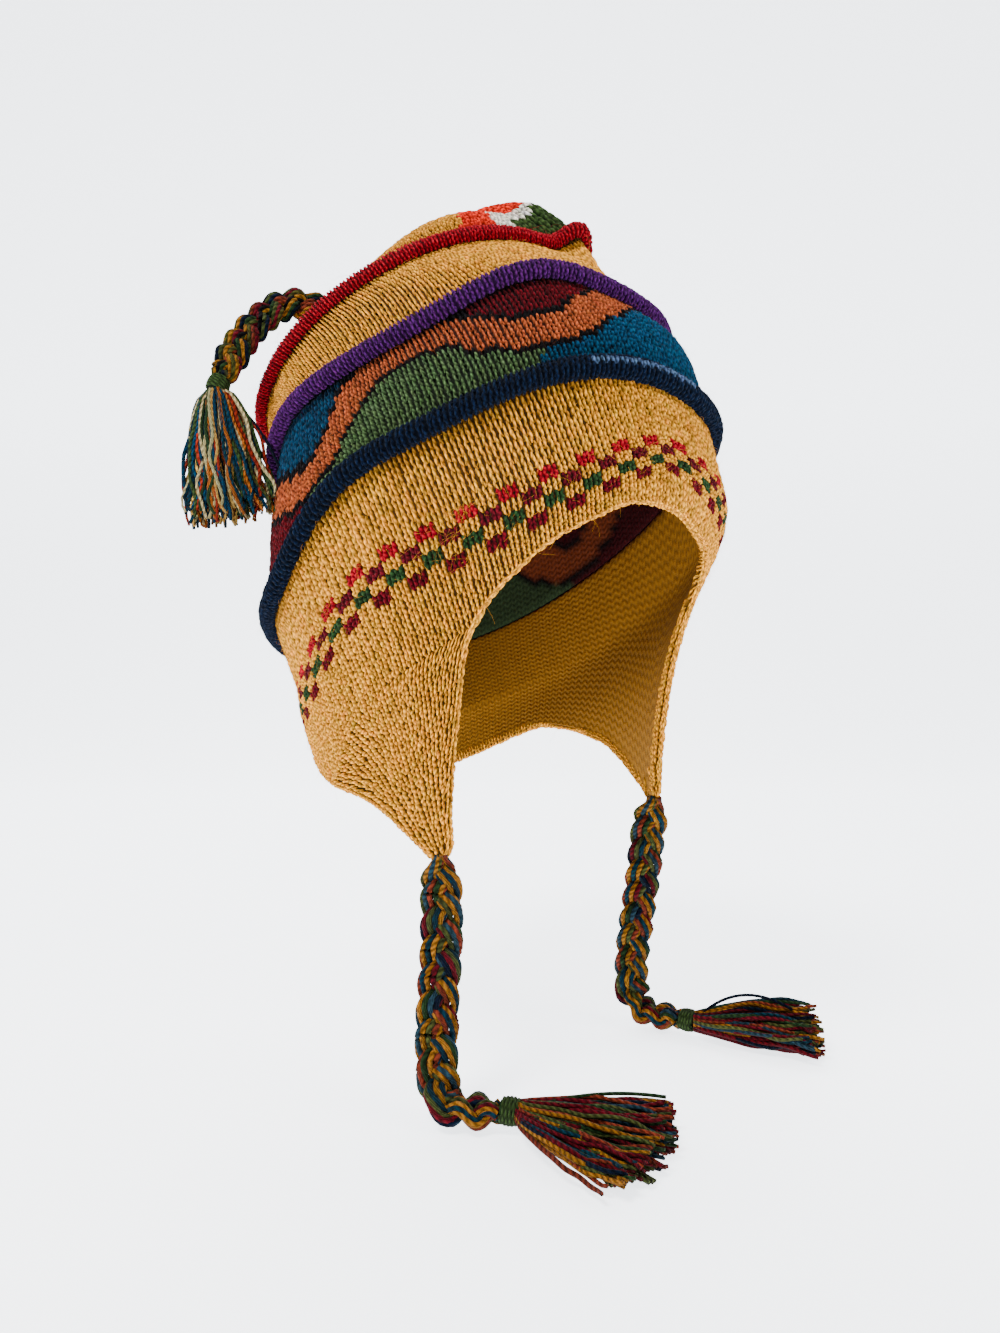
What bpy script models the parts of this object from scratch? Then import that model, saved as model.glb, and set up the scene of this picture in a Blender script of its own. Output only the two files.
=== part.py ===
"""Chullo hat: a knitted hat with ear flaps, braided ties and tassels.

Metres, +Z up, the face looks along -Y and the wearer's right is -X. The origin is where the
head sits, at the middle of the brow. An angle is in degrees round the hat from the face,
positive towards the wearer's left.
"""

import math

import bmesh
import bpy
from mathutils import Vector

# The hat as a whole
HALF_WIDTH = 0.079
HALF_LENGTH = 0.0857
CROWN_HEIGHT = 0.108
SQUARENESS = 2.1
BACK_FULLNESS = 0.02
WALL = 0.003
GAP = 0.0003

# The lower band and its flaps
BAND_DEPTH = 0.0425
FLAP_LENGTH = 0.136
FACE_TURN = -6.0
LEFT_FLAP_SHARE = 0.94
LEFT_ARCH_SHARE = 0.45
ARCH_END = (30, 58)
BEND_START = 0.36
RIGHT_FLAP_TAPER = 0.015
LEFT_FLAP_TAPER = 0.023
TAPER_RUN = 0.032

# The raised welts
NAVY_WELT_RADIUS = 0.0038
PURPLE_WELT_RADIUS = 0.0034
RED_WELT_RADIUS = 0.0031
WELT_OUTSET = 0.0018

# The closed top
TOP_RISE = 0.0215
COLLAR_RADIUS = 0.0055
PINCH_CLEARANCE = 0.0008
RISE_TURN = 8.0
RISE_FOCUS = 3

# The three braids, their whippings and tassels
EAR_BRAID_RADIUS = 0.0062
CROWN_BRAID_RADIUS = 0.0053
TABLE_DROP = 0.160
WRAP_LENGTH = 0.009
WRAP_RADIUS = 0.0052
WRAP_END_SHARE = 0.9
TASSEL_LENGTH = 0.044
LOCK_RADIUS = 0.0027
LOCK_COUNT = 9

# Where each braid runs on its way to its whipping. The ear braids start at their flap's tip.
RIGHT_BRAID_ROUTE = (
    (-0.0568, -0.0304, -0.0930),
    (-0.0590, -0.0330, -0.1080),
    (-0.0631, -0.0359, -0.1280),
    (-0.0672, -0.0400, -0.1425),
    (-0.0690, -0.0455, -0.1522),
    (-0.0655, -0.0520, -0.1537),
    (-0.0600, -0.0600, -0.1537),
)
LEFT_BRAID_ROUTE = (
    (0.0462, -0.0370, -0.0850),
    (0.0460, -0.0355, -0.0970),
    (0.0456, -0.0335, -0.1107),
    (0.0452, -0.0300, -0.1330),
    (0.0452, -0.0305, -0.1470),
    (0.0468, -0.0355, -0.1532),
    (0.0485, -0.0430, -0.1537),
    (0.0490, -0.0500, -0.1537),
)
CROWN_BRAID_ROUTE = (
    (-0.0400, 0.0535, 0.1225),
    (-0.0455, 0.0555, 0.1250),
    (-0.0535, 0.0580, 0.1262),
    (-0.0620, 0.0608, 0.1228),
    (-0.0708, 0.0634, 0.1140),
    (-0.0778, 0.0646, 0.1032),
    (-0.0834, 0.0650, 0.0915),
)

# Where each tassel points, and the half width of its fan at the ends
RIGHT_TASSEL_WAY = (0.52, -0.85, 0.0)
LEFT_TASSEL_WAY = (0.62, -0.79, 0.0)
CROWN_TASSEL_WAY = (0.06, -0.18, -1.0)
RIGHT_SPREAD = 0.022
LEFT_SPREAD = 0.017
CROWN_SPREAD = 0.015

# Rings of the hat from the brow up. half_width and half_length are shares of HALF_WIDTH and
# HALF_LENGTH, back is a share of HALF_LENGTH, height of CROWN_HEIGHT, and tilt is the drop
# from front to back over the length.
RING_COLUMNS = ("name", "half_width", "half_length", "back", "height", "tilt")
RINGS = (
    ("brow", 1.00, 1.00, 0.00, -0.01, 0.56),
    ("navy", 1.00, 1.00, 0.06, 0.29, 0.54),
    ("wave", 0.99, 0.97, 0.11, 0.51, 0.50),
    ("purple", 0.92, 0.88, 0.18, 0.72, 0.46),
    ("upper", 0.87, 0.84, 0.33, 0.87, 0.46),
    ("red", 0.80, 0.78, 0.50, 1.00, 0.46),
)

# Places where a welt rides up or sags. angle and spread are degrees, lift and push are shares
# of CROWN_HEIGHT and HALF_WIDTH.
DENT_COLUMNS = ("ring", "angle", "spread", "lift", "push")
DENTS = (
    ("brow", 180, 75, 0.000, -0.14),
    ("brow", 45, 30, 0.000, 0.035),
    ("navy", -110, 16, -0.034, 0.00),
    ("navy", -84, 18, 0.048, 0.01),
    ("navy", -35, 22, 0.014, 0.00),
    ("navy", 15, 22, -0.038, 0.00),
    ("purple", -105, 20, 0.046, 0.01),
    ("purple", -60, 26, -0.032, 0.00),
    ("purple", -30, 18, 0.028, 0.01),
    ("purple", 5, 26, -0.030, 0.00),
    ("red", -120, 26, -0.030, 0.00),
    ("red", -65, 30, -0.018, 0.00),
    ("red", 14, 8, 0.085, 0.05),
)

# The lower edge of one side. start is the angle at the navy welt and end the angle at the
# edge, in degrees from the middle of the face. drop is the depth below the navy welt, where
# 0 is BAND_DEPTH and 1 is FLAP_LENGTH.
EDGE_COLUMNS = ("start", "end", "drop")
EDGE = (
    (0, 0, 0.00),
    (9, 9, 0.01),
    (18, 18, 0.05),
    (30, 30, 0.10),
    (38, 38, 0.15),
    (45, 43.5, 0.19),
    (51, 48, 0.25),
    (57, 51, 0.33),
    (62, 53, 0.49),
    (66, 55, 0.68),
    (69, 56, 0.84),
    (72, 56, 0.97),
    (75, 60, 1.00),
    (80, 67, 0.90),
    (87, 77, 0.74),
    (96, 90, 0.52),
    (105, 101, 0.36),
    (114, 112, 0.23),
    (126, 124, 0.13),
    (142, 141, 0.10),
    (180, 180, 0.09),
)

# The top, from the red welt in to the root of its braid. reach is the share of the way
# and rise a share of TOP_RISE.
TOP_COLUMNS = ("reach", "rise")
TOP = (
    (0.00, 0.00),
    (0.10, 0.50),
    (0.20, 0.85),
    (0.35, 1.00),
    (0.50, 0.95),
    (0.66, 0.70),
    (0.82, 0.36),
    (0.93, 0.11),
    (1.00, 0.00),
)

COLUMNS = 52
BAND_ROWS = 9
FLAP_ANGLES = (36, 80)
FLAP_STEP = 3.1
BAND_STEP = 6.2
UPPER_ROWS = 4


def table(columns, rows):
    """The rows as dictionaries keyed by their column names."""
    return [dict(zip(columns, row)) for row in rows]


def smooth_step(share):
    share = min(max(share, 0.0), 1.0)
    return share * share * (3 - 2 * share)


def blend_rows(rows, key, value, at):
    """value at the place where key equals at, along a smooth curve through the rows."""
    last = len(rows) - 1
    index = 0
    while index < last - 1 and rows[index + 1][key] < at:
        index += 1
    before = rows[max(index - 1, 0)]
    low, high = rows[index], rows[index + 1]
    after = rows[min(index + 2, last)]
    span = high[key] - low[key]
    share = min(max((at - low[key]) / span, 0.0), 1.0)
    rise_low = (high[value] - before[value]) / max(high[key] - before[key], 1e-9) * span
    rise_high = (after[value] - low[value]) / max(after[key] - low[key], 1e-9) * span
    square, cube = share**2, share**3
    return (
        low[value] * (2 * cube - 3 * square + 1)
        + rise_low * (cube - 2 * square + share)
        + high[value] * (3 * square - 2 * cube)
        + rise_high * (cube - square)
    )


RING_ROWS = table(RING_COLUMNS, RINGS)
DENT_ROWS = table(DENT_COLUMNS, DENTS)
EDGE_ROWS = table(EDGE_COLUMNS, EDGE)
TOP_ROWS = table(TOP_COLUMNS, TOP)
RING_INDEX = {row["name"]: index for index, row in enumerate(RING_ROWS)}


def ring_point(row, angle):
    """The wall's outer face on one ring."""
    turn = math.radians(angle)
    across, along = math.sin(turn), -math.cos(turn)
    power = 2 / SQUARENESS
    x = math.copysign(abs(across) ** power, across)
    y = math.copysign(abs(along) ** power, along)
    lift = push = 0.0
    for dent in DENT_ROWS:
        if dent["ring"] == row["name"]:
            away = (angle - dent["angle"] + 180) % 360 - 180
            share = math.exp(-((away / dent["spread"]) ** 2))
            lift += dent["lift"] * share
            push += dent["push"] * share
    half_width = HALF_WIDTH * (row["half_width"] + push)
    half_length = HALF_LENGTH * (row["half_length"] + push)
    height = CROWN_HEIGHT * (row["height"] + lift)
    return Vector(
        (
            half_width * x * (1 + BACK_FULLNESS * y),
            half_length * y + HALF_LENGTH * row["back"],
            height - row["tilt"] * half_length * y,
        )
    )


def upper_point(angle, level):
    """The wall's outer face above the brow. level counts rings, from the brow at 0."""
    index = min(int(level), len(RING_ROWS) - 2)
    share = level - index
    near = [min(max(index + step, 0), len(RING_ROWS) - 1) for step in (-1, 0, 1, 2)]
    before, low, high, after = (ring_point(RING_ROWS[i], angle) for i in near)
    return 0.5 * (
        2 * low
        + (high - before) * share
        + (2 * before - 5 * low + 4 * high - after) * share**2
        + (3 * low - before - 3 * high + after) * share**3
    )


def edge_at(angle):
    """(end angle, depth) of the lower edge on the column that starts at this angle."""
    from_face = (angle - FACE_TURN + 180) % 360 - 180
    side = math.copysign(1, from_face)
    start = abs(from_face)
    end = blend_rows(EDGE_ROWS, "start", "end", start)
    drop = blend_rows(EDGE_ROWS, "start", "drop", start)
    if side > 0:
        arch_start, arch_end = ARCH_END
        into_flap = smooth_step((start - arch_start) / (arch_end - arch_start))
        drop *= LEFT_ARCH_SHARE + (LEFT_FLAP_SHARE - LEFT_ARCH_SHARE) * into_flap
    depth = BAND_DEPTH + (FLAP_LENGTH - BAND_DEPTH) * drop
    return angle + side * (end - start), depth


def lower_point(angle, share):
    """The lower band's outer face. share runs from 0 at the navy welt to 1 at the edge."""
    end, depth = edge_at(angle)
    down = share * depth
    bend_start = BEND_START * BAND_DEPTH
    bend = smooth_step((down - bend_start) / max(depth - bend_start, 1e-6))
    turn = angle + (end - angle) * bend
    navy = ring_point(RING_ROWS[RING_INDEX["navy"]], turn)
    brow = ring_point(RING_ROWS[RING_INDEX["brow"]], turn)
    to_brow = max(navy.z - brow.z, 1e-6)
    reach = min(down / to_brow, 1.0)
    below = max(down - to_brow, 0.0)
    leftness = (1 + math.sin(math.radians(turn))) / 2
    taper = RIGHT_FLAP_TAPER + (LEFT_FLAP_TAPER - RIGHT_FLAP_TAPER) * leftness
    narrow = 1 - taper / HALF_WIDTH * below**2 / (below**2 + TAPER_RUN**2)
    return Vector(
        (
            (navy.x + (brow.x - navy.x) * reach) * narrow,
            (navy.y + (brow.y - navy.y) * reach) * narrow,
            navy.z - down,
        )
    )


def crown_root():
    """(middle, way) of the collar that the crown braid is sewn to."""
    points = smooth_route([Vector(point) for point in CROWN_BRAID_ROUTE], CROWN_BRAID_RADIUS * 2)
    return points[0], (points[1] - points[0]).normalized()


def top_point(angle, reach):
    """The top's outer face. reach runs from 0 at the red welt to 1 at the collar."""
    rim = ring_point(RING_ROWS[RING_INDEX["red"]], angle)
    turn = math.radians(angle)
    middle, way = crown_root()
    around = Vector((math.sin(turn), -math.cos(turn), 0)) * COLLAR_RADIUS
    collar = middle - way * GAP + Vector((0, 0, 1)).rotation_difference(way) @ around
    rise = TOP_RISE * blend_rows(TOP_ROWS, "reach", "rise", reach)
    swing = ((1 + math.cos(math.radians(angle - RISE_TURN))) / 2) ** RISE_FOCUS
    point = rim.lerp(collar, reach)
    point.z += rise * swing
    return point


def face_out(surface, angle, place, step):
    """The unit normal of a surface, away from the head."""
    round_it = surface(angle + 1, place) - surface(angle - 1, place)
    up_it = surface(angle, place + step) - surface(angle, place - step)
    return round_it.cross(up_it).normalized()


def place_at(surface, angle, places, run):
    """The place on a column that lies run metres from its first place."""
    first, last = places
    count = 24
    step = (last - first) / count
    done = 0.0
    point = surface(angle, first)
    for index in range(count):
        place = first + step * index
        after = surface(angle, place + step)
        length = (after - point).length
        if done + length >= run:
            return place + step * (run - done) / length
        done += length
        point = after
    return last


def even_angles(count):
    return [360 * index / count - 180 for index in range(count)]


def band_angles():
    """Columns of the lower band, closer together where the flaps' edges run down."""
    angles = []
    away = -180.0
    while away < 180 - BAND_STEP / 2:
        angles.append(away + FACE_TURN)
        in_flap = FLAP_ANGLES[0] <= abs(away) < FLAP_ANGLES[1]
        away += FLAP_STEP if in_flap else BAND_STEP
    return angles


def material(name, colour, roughness):
    made = bpy.data.materials.new(name)
    made.use_nodes = True
    shader = made.node_tree.nodes["Principled BSDF"]
    shader.inputs["Base Color"].default_value = (*colour, 1)
    shader.inputs["Roughness"].default_value = roughness
    shader.inputs["Metallic"].default_value = 0.0
    made.diffuse_color = (*colour, 1)
    return made


def add_object(name, data, finish):
    thing = bpy.data.objects.new(name, data)
    data.materials.append(finish)
    bpy.data.collections["chullo_hat"].objects.link(thing)
    return thing


def mesh_from_rows(name, rows, closed_end=False):
    """An open sheet through rows of points that each run once round."""
    count = len(rows[0])
    points = [point for row in rows for point in row]
    faces = []
    for low in range(len(rows) - 1):
        for index in range(count):
            after = (index + 1) % count
            first, second = low * count, (low + 1) * count
            faces.append((first + index, first + after, second + after, second + index))
    if closed_end:
        last = (len(rows) - 1) * count
        faces.append(tuple(last + index for index in range(count)))
    mesh = bpy.data.meshes.new(name)
    mesh.from_pydata(points, [], faces)
    mesh.shade_smooth()
    return mesh


def knitted_wall(name, rows, finish, closed_end=False):
    """A knitted sheet with its thickness on the inside."""
    wall = add_object(name, mesh_from_rows(name, rows, closed_end), finish)
    solid = wall.modifiers.new("wall", "SOLIDIFY")
    solid.thickness = WALL
    solid.offset = -1
    solid.use_even_offset = False
    return wall


def tube(name, points, radius, finish, cyclic=False, sides=2):
    curve = bpy.data.curves.new(name, "CURVE")
    curve.dimensions = "3D"
    curve.bevel_depth = radius
    curve.bevel_resolution = sides
    curve.use_fill_caps = not cyclic
    spline = curve.splines.new("POLY")
    spline.points.add(len(points) - 1)
    for place, point in zip(spline.points, points):
        place.co = (*point, 1)
    spline.use_cyclic_u = cyclic
    return add_object(name, curve, finish)


def smooth_route(route, step):
    """Points every step metres along a smooth curve through the route's own points."""
    fine = []
    last = len(route) - 1
    for index in range(last):
        near = [route[min(max(index + move, 0), last)] for move in (-1, 0, 1, 2)]
        before, low, high, after = near
        for part in range(16):
            share = part / 16
            fine.append(
                0.5
                * (
                    2 * low
                    + (high - before) * share
                    + (2 * before - 5 * low + 4 * high - after) * share**2
                    + (3 * low - before - 3 * high + after) * share**3
                )
            )
    fine.append(route[-1])
    length = sum((b - a).length for a, b in zip(fine, fine[1:]))
    count = max(round(length / step), 2)
    points, done, wanted = [fine[0]], 0.0, length / count
    for low, high in zip(fine, fine[1:]):
        run = (high - low).length
        while done + run >= wanted and len(points) < count:
            points.append(low.lerp(high, (wanted - done) / run))
            wanted += length / count
        done += run
    points.append(fine[-1])
    return points


def mesh_copy(thing):
    """The object's evaluated mesh as a new mesh, its caps welded, with the old object gone."""
    bpy.context.view_layer.update()
    graph = bpy.context.evaluated_depsgraph_get()
    mesh = bpy.data.meshes.new_from_object(thing.evaluated_get(graph))
    shape = bmesh.new()
    shape.from_mesh(mesh)
    bmesh.ops.remove_doubles(shape, verts=shape.verts, dist=1e-6)
    bmesh.ops.recalc_face_normals(shape, faces=shape.faces)
    shape.to_mesh(mesh)
    shape.free()
    mesh.name = thing.name
    bpy.data.objects.remove(thing)
    return mesh


def welt(name, ring, radius, finish):
    """A rolled ridge round one ring, standing proud of the bands above and below it."""
    level = RING_INDEX[ring]
    points = []
    for angle in even_angles(COLUMNS):
        inside = level - 0.02 if level == len(RING_ROWS) - 1 else level
        normal = face_out(upper_point, angle, inside, 0.01)
        points.append(upper_point(angle, level) + normal * WELT_OUTSET)
    return tube(name, points, radius, finish, cyclic=True)


def welt_clearance(radius):
    """How far from a welt's ring line a band's edge stays."""
    return math.sqrt((radius + GAP) ** 2 - WELT_OUTSET**2) + GAP


def lower_band(finish):
    columns = band_angles()
    rows = []
    for row in range(BAND_ROWS + 1):
        points = []
        for angle in columns:
            depth = edge_at(angle)[1]
            first = welt_clearance(NAVY_WELT_RADIUS) / depth
            share = 1 - (1 - first) * row / BAND_ROWS
            points.append(lower_point(angle, share))
        rows.append(points)
    return knitted_wall("lower_band", rows, finish)


def band_between(name, low, high, finish):
    """A band from just above one welt to just below the next."""
    (low_ring, low_radius), (high_ring, high_radius) = low, high
    first, last = RING_INDEX[low_ring], RING_INDEX[high_ring]
    rows = [[] for _ in range(UPPER_ROWS + 1)]
    for angle in even_angles(COLUMNS):
        start = place_at(upper_point, angle, (first, last), welt_clearance(low_radius))
        end = place_at(upper_point, angle, (last, first), welt_clearance(high_radius))
        for row, points in enumerate(rows):
            points.append(upper_point(angle, start + (end - start) * row / UPPER_ROWS))
    return knitted_wall(name, rows, finish)


def crown_top(finish):
    reaches = [row["reach"] for row in TOP_ROWS]
    rows = [[] for _ in reaches]
    for angle in even_angles(COLUMNS):
        edge = welt_clearance(RED_WELT_RADIUS) + PINCH_CLEARANCE
        start = place_at(top_point, angle, (0, 1), edge)
        for reach, points in zip(reaches, rows):
            points.append(top_point(angle, start + (1 - start) * reach))
    return knitted_wall("crown_top", rows, finish, closed_end=True)


def whipping(name, start, axis, finish):
    """The yarn wound round the end of a braid: a short barrel."""
    mesh = bpy.data.meshes.new(name)
    shape = bmesh.new()
    end_radius = WRAP_RADIUS * WRAP_END_SHARE
    bmesh.ops.create_cone(
        shape,
        cap_ends=True,
        segments=12,
        radius1=end_radius,
        radius2=end_radius,
        depth=WRAP_LENGTH,
    )
    sides = [edge for edge in shape.edges if len({vert.co.z > 0 for vert in edge.verts}) == 2]
    bmesh.ops.subdivide_edges(shape, edges=sides, cuts=1)
    for vert in shape.verts:
        if abs(vert.co.z) < WRAP_LENGTH / 4:
            vert.co.x /= WRAP_END_SHARE
            vert.co.y /= WRAP_END_SHARE
    shape.to_mesh(mesh)
    shape.free()
    thing = add_object(name, mesh, finish)
    thing.rotation_mode = "QUATERNION"
    thing.rotation_quaternion = axis.to_track_quat("Z", "Y")
    thing.location = start + axis * WRAP_LENGTH / 2


def lock_route(head, axis, fan, spread, index, floor):
    """The way one lock of a tassel runs. fan is the direction that the locks spread in."""
    side = 2 * index / (LOCK_COUNT - 1) - 1
    layer = index % 2
    length = TASSEL_LENGTH * (1 - 0.12 * side**2 - 0.05 * layer)
    depth = axis.cross(fan).normalized() * (layer - 0.5) * 1.6 * LOCK_RADIUS
    route = []
    for part in range(5):
        run = part / 4
        point = head + axis * length * run + fan * spread * side * run**0.8
        if floor is None:
            point += depth * math.sin(math.pi * min(run, 0.6))
        else:
            rest = floor + LOCK_RADIUS * (1.05 + 1.4 * layer)
            point.z += (rest - point.z) * smooth_step(run * 1.6)
        route.append(point)
    return route


def tassel(name, head, axis, fan, spread, finish, floor=None):
    """Locks of yarn that fan out along an axis, fused to a round head."""
    bulb = bmesh.new()
    bmesh.ops.create_icosphere(bulb, subdivisions=2, radius=WRAP_RADIUS)
    bmesh.ops.translate(bulb, verts=bulb.verts, vec=head)
    mesh = bpy.data.meshes.new(name)
    bulb.to_mesh(mesh)
    bulb.free()
    body = add_object(name, mesh, finish)
    for index in range(LOCK_COUNT):
        route = lock_route(head, axis, fan, spread, index, floor)
        lock = tube(f"{name}_lock", route, LOCK_RADIUS, finish, sides=1)
        shape = bpy.data.objects.new(f"{name}_lock_shape", mesh_copy(lock))
        shape.hide_render = True
        bpy.data.collections["fused_shapes"].objects.link(shape)
        fuse = body.modifiers.new("fuse", "BOOLEAN")
        fuse.operation = "UNION"
        fuse.solver = "EXACT"
        fuse.object = shape


def flap_tip(side):
    """The lowest place of a flap's edge, at the middle of the wall. side is -1 or 1."""
    tips = []
    for angle in band_angles():
        if side * (angle - FACE_TURN) > 0:
            edge = lower_point(angle, 1)
            tips.append(edge - face_out(lower_point, angle, 0.98, -0.01) * WALL / 2)
    return min(tips, key=lambda tip: tip.z) - Vector((0, 0, GAP))


def tie(side, route, radius, towards, spread, finishes, floor=None):
    """A braid, the whipping at its end and its tassel, which points towards a direction."""
    braid_finish, wrap_finish = finishes
    points = smooth_route([Vector(point) for point in route], radius * 2)
    tube(f"{side}_braid", points, radius, braid_finish)
    axis = (points[-1] - points[-2]).normalized()
    start = points[-1] + axis * GAP
    whipping(f"{side}_wrap", start, axis, wrap_finish)
    direction = Vector(towards).normalized()
    fan = direction.cross(Vector((1, 1, 0)) if floor is None else Vector((0, 0, 1))).normalized()
    tassel(
        f"{side}_tassel",
        start + axis * (WRAP_LENGTH + GAP + WRAP_RADIUS),
        direction,
        fan,
        spread,
        braid_finish,
        floor,
    )


def main():
    for thing in list(bpy.data.objects):
        bpy.data.objects.remove(thing)
    for name in ("chullo_hat", "fused_shapes"):
        bpy.context.scene.collection.children.link(bpy.data.collections.new(name))

    gold = material("gold_wool", (0.53, 0.28, 0.05), 0.9)
    navy = material("navy_wool", (0.006, 0.022, 0.05), 0.9)
    purple = material("purple_wool", (0.06, 0.018, 0.15), 0.9)
    red = material("red_wool", (0.35, 0.008, 0.02), 0.9)
    orange = material("orange_wool", (0.58, 0.17, 0.04), 0.9)
    green = material("green_wool", (0.10, 0.20, 0.04), 0.9)
    mixed = material("mixed_wool", (0.22, 0.10, 0.04), 0.9)

    lower_band(gold)
    welt("navy_welt", "navy", NAVY_WELT_RADIUS, navy)
    band_between("wave_band", ("navy", NAVY_WELT_RADIUS), ("purple", PURPLE_WELT_RADIUS), orange)
    welt("purple_welt", "purple", PURPLE_WELT_RADIUS, purple)
    band_between("upper_band", ("purple", PURPLE_WELT_RADIUS), ("red", RED_WELT_RADIUS), gold)
    welt("red_welt", "red", RED_WELT_RADIUS, red)
    crown_top(gold)
    finishes = (mixed, green)
    floor = -TABLE_DROP
    tie("crown", CROWN_BRAID_ROUTE, CROWN_BRAID_RADIUS, CROWN_TASSEL_WAY, CROWN_SPREAD, finishes)
    right_route = (flap_tip(-1), *RIGHT_BRAID_ROUTE)
    left_route = (flap_tip(1), *LEFT_BRAID_ROUTE)
    tie("right", right_route, EAR_BRAID_RADIUS, RIGHT_TASSEL_WAY, RIGHT_SPREAD, finishes, floor)
    tie("left", left_route, EAR_BRAID_RADIUS, LEFT_TASSEL_WAY, LEFT_SPREAD, finishes, floor)


main()
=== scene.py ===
import math

import bmesh
import bpy
import numpy as np
from mathutils import Matrix, Vector


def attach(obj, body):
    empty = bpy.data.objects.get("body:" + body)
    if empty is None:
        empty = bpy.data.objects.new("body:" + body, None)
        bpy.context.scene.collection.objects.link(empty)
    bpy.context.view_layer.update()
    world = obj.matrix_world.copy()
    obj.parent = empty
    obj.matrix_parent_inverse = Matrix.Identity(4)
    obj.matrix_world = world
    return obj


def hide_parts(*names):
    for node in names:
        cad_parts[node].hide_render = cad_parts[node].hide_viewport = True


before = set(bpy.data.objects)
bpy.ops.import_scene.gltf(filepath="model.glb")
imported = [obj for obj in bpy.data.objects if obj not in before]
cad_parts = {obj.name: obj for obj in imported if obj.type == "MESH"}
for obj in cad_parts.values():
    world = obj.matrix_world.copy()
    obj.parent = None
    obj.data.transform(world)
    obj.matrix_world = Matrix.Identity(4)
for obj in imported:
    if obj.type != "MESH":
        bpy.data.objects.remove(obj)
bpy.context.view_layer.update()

# Chullo hat: the knitted fabric, braids, whippings and tassels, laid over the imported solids.
# Metres, +Z up, the face looks along -Y and the wearer's right is -X. An angle is in degrees
# round the hat from the face, positive towards the wearer's left.

# The hat's outer faces, with the same sizes and tables as the solids
HALF_WIDTH = 0.079
HALF_LENGTH = 0.0857
CROWN_HEIGHT = 0.108
SQUARENESS = 2.1
BACK_FULLNESS = 0.02
WALL = 0.003
GAP = 0.0003
BAND_DEPTH = 0.0425
FLAP_LENGTH = 0.136
FACE_TURN = -6.0
LEFT_FLAP_SHARE = 0.94
LEFT_ARCH_SHARE = 0.45
ARCH_END = (30, 58)
RIGHT_FLAP_TAPER = 0.015
LEFT_FLAP_TAPER = 0.023
TAPER_RUN = 0.032
NAVY_WELT_RADIUS = 0.0038
PURPLE_WELT_RADIUS = 0.0034
RED_WELT_RADIUS = 0.0031
WELT_OUTSET = 0.0018
TOP_RISE = 0.0215
COLLAR_RADIUS = 0.0055
RISE_TURN = 8.0
RISE_FOCUS = 3
EAR_BRAID_RADIUS = 0.0062
CROWN_BRAID_RADIUS = 0.0053
TABLE_DROP = 0.160
WRAP_LENGTH = 0.009
TASSEL_LENGTH = 0.044

RIGHT_BRAID_ROUTE = (
    (-0.0567, -0.0296, -0.0830),
    (-0.0568, -0.0304, -0.0930),
    (-0.0590, -0.0330, -0.1080),
    (-0.0631, -0.0359, -0.1280),
    (-0.0672, -0.0400, -0.1425),
    (-0.0690, -0.0455, -0.1522),
    (-0.0655, -0.0520, -0.1537),
    (-0.0600, -0.0600, -0.1537),
)
LEFT_BRAID_ROUTE = (
    (0.0467, -0.0397, -0.0711),
    (0.0462, -0.0370, -0.0850),
    (0.0460, -0.0355, -0.0970),
    (0.0456, -0.0335, -0.1107),
    (0.0452, -0.0300, -0.1330),
    (0.0452, -0.0305, -0.1470),
    (0.0468, -0.0355, -0.1532),
    (0.0485, -0.0430, -0.1537),
    (0.0490, -0.0500, -0.1537),
)
CROWN_BRAID_ROUTE = (
    (-0.0400, 0.0535, 0.1225),
    (-0.0455, 0.0555, 0.1250),
    (-0.0535, 0.0580, 0.1262),
    (-0.0620, 0.0608, 0.1228),
    (-0.0708, 0.0634, 0.1140),
    (-0.0778, 0.0646, 0.1032),
    (-0.0834, 0.0650, 0.0915),
)
RIGHT_TASSEL_WAY = (0.52, -0.85, 0.0)
LEFT_TASSEL_WAY = (0.62, -0.79, 0.0)
CROWN_TASSEL_WAY = (0.06, -0.18, -1.0)

RING_COLUMNS = ("name", "half_width", "half_length", "back", "height", "tilt")
RINGS = (
    ("brow", 1.00, 1.00, 0.00, -0.01, 0.56),
    ("navy", 1.00, 1.00, 0.06, 0.29, 0.54),
    ("wave", 0.99, 0.97, 0.11, 0.51, 0.50),
    ("purple", 0.92, 0.88, 0.18, 0.72, 0.46),
    ("upper", 0.87, 0.84, 0.33, 0.87, 0.46),
    ("red", 0.80, 0.78, 0.50, 1.00, 0.46),
)
DENT_COLUMNS = ("ring", "angle", "spread", "lift", "push")
DENTS = (
    ("brow", 180, 75, 0.000, -0.14),
    ("brow", 45, 30, 0.000, 0.035),
    ("navy", -110, 16, -0.034, 0.00),
    ("navy", -84, 18, 0.048, 0.01),
    ("navy", -35, 22, 0.014, 0.00),
    ("navy", 15, 22, -0.038, 0.00),
    ("purple", -105, 20, 0.046, 0.01),
    ("purple", -60, 26, -0.032, 0.00),
    ("purple", -30, 18, 0.028, 0.01),
    ("purple", 5, 26, -0.030, 0.00),
    ("red", -120, 26, -0.030, 0.00),
    ("red", -65, 30, -0.018, 0.00),
    ("red", 14, 8, 0.085, 0.05),
)
EDGE_COLUMNS = ("start", "end", "drop")
EDGE = (
    (0, 0, 0.00),
    (9, 9, 0.01),
    (18, 18, 0.05),
    (30, 30, 0.10),
    (38, 38, 0.15),
    (45, 43.5, 0.19),
    (51, 48, 0.25),
    (57, 51, 0.33),
    (62, 53, 0.49),
    (66, 55, 0.68),
    (69, 56, 0.84),
    (72, 56, 0.97),
    (75, 60, 1.00),
    (80, 67, 0.90),
    (87, 77, 0.74),
    (96, 90, 0.52),
    (105, 101, 0.36),
    (114, 112, 0.23),
    (126, 124, 0.13),
    (142, 141, 0.10),
    (180, 180, 0.09),
)
TOP_COLUMNS = ("reach", "rise")
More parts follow.
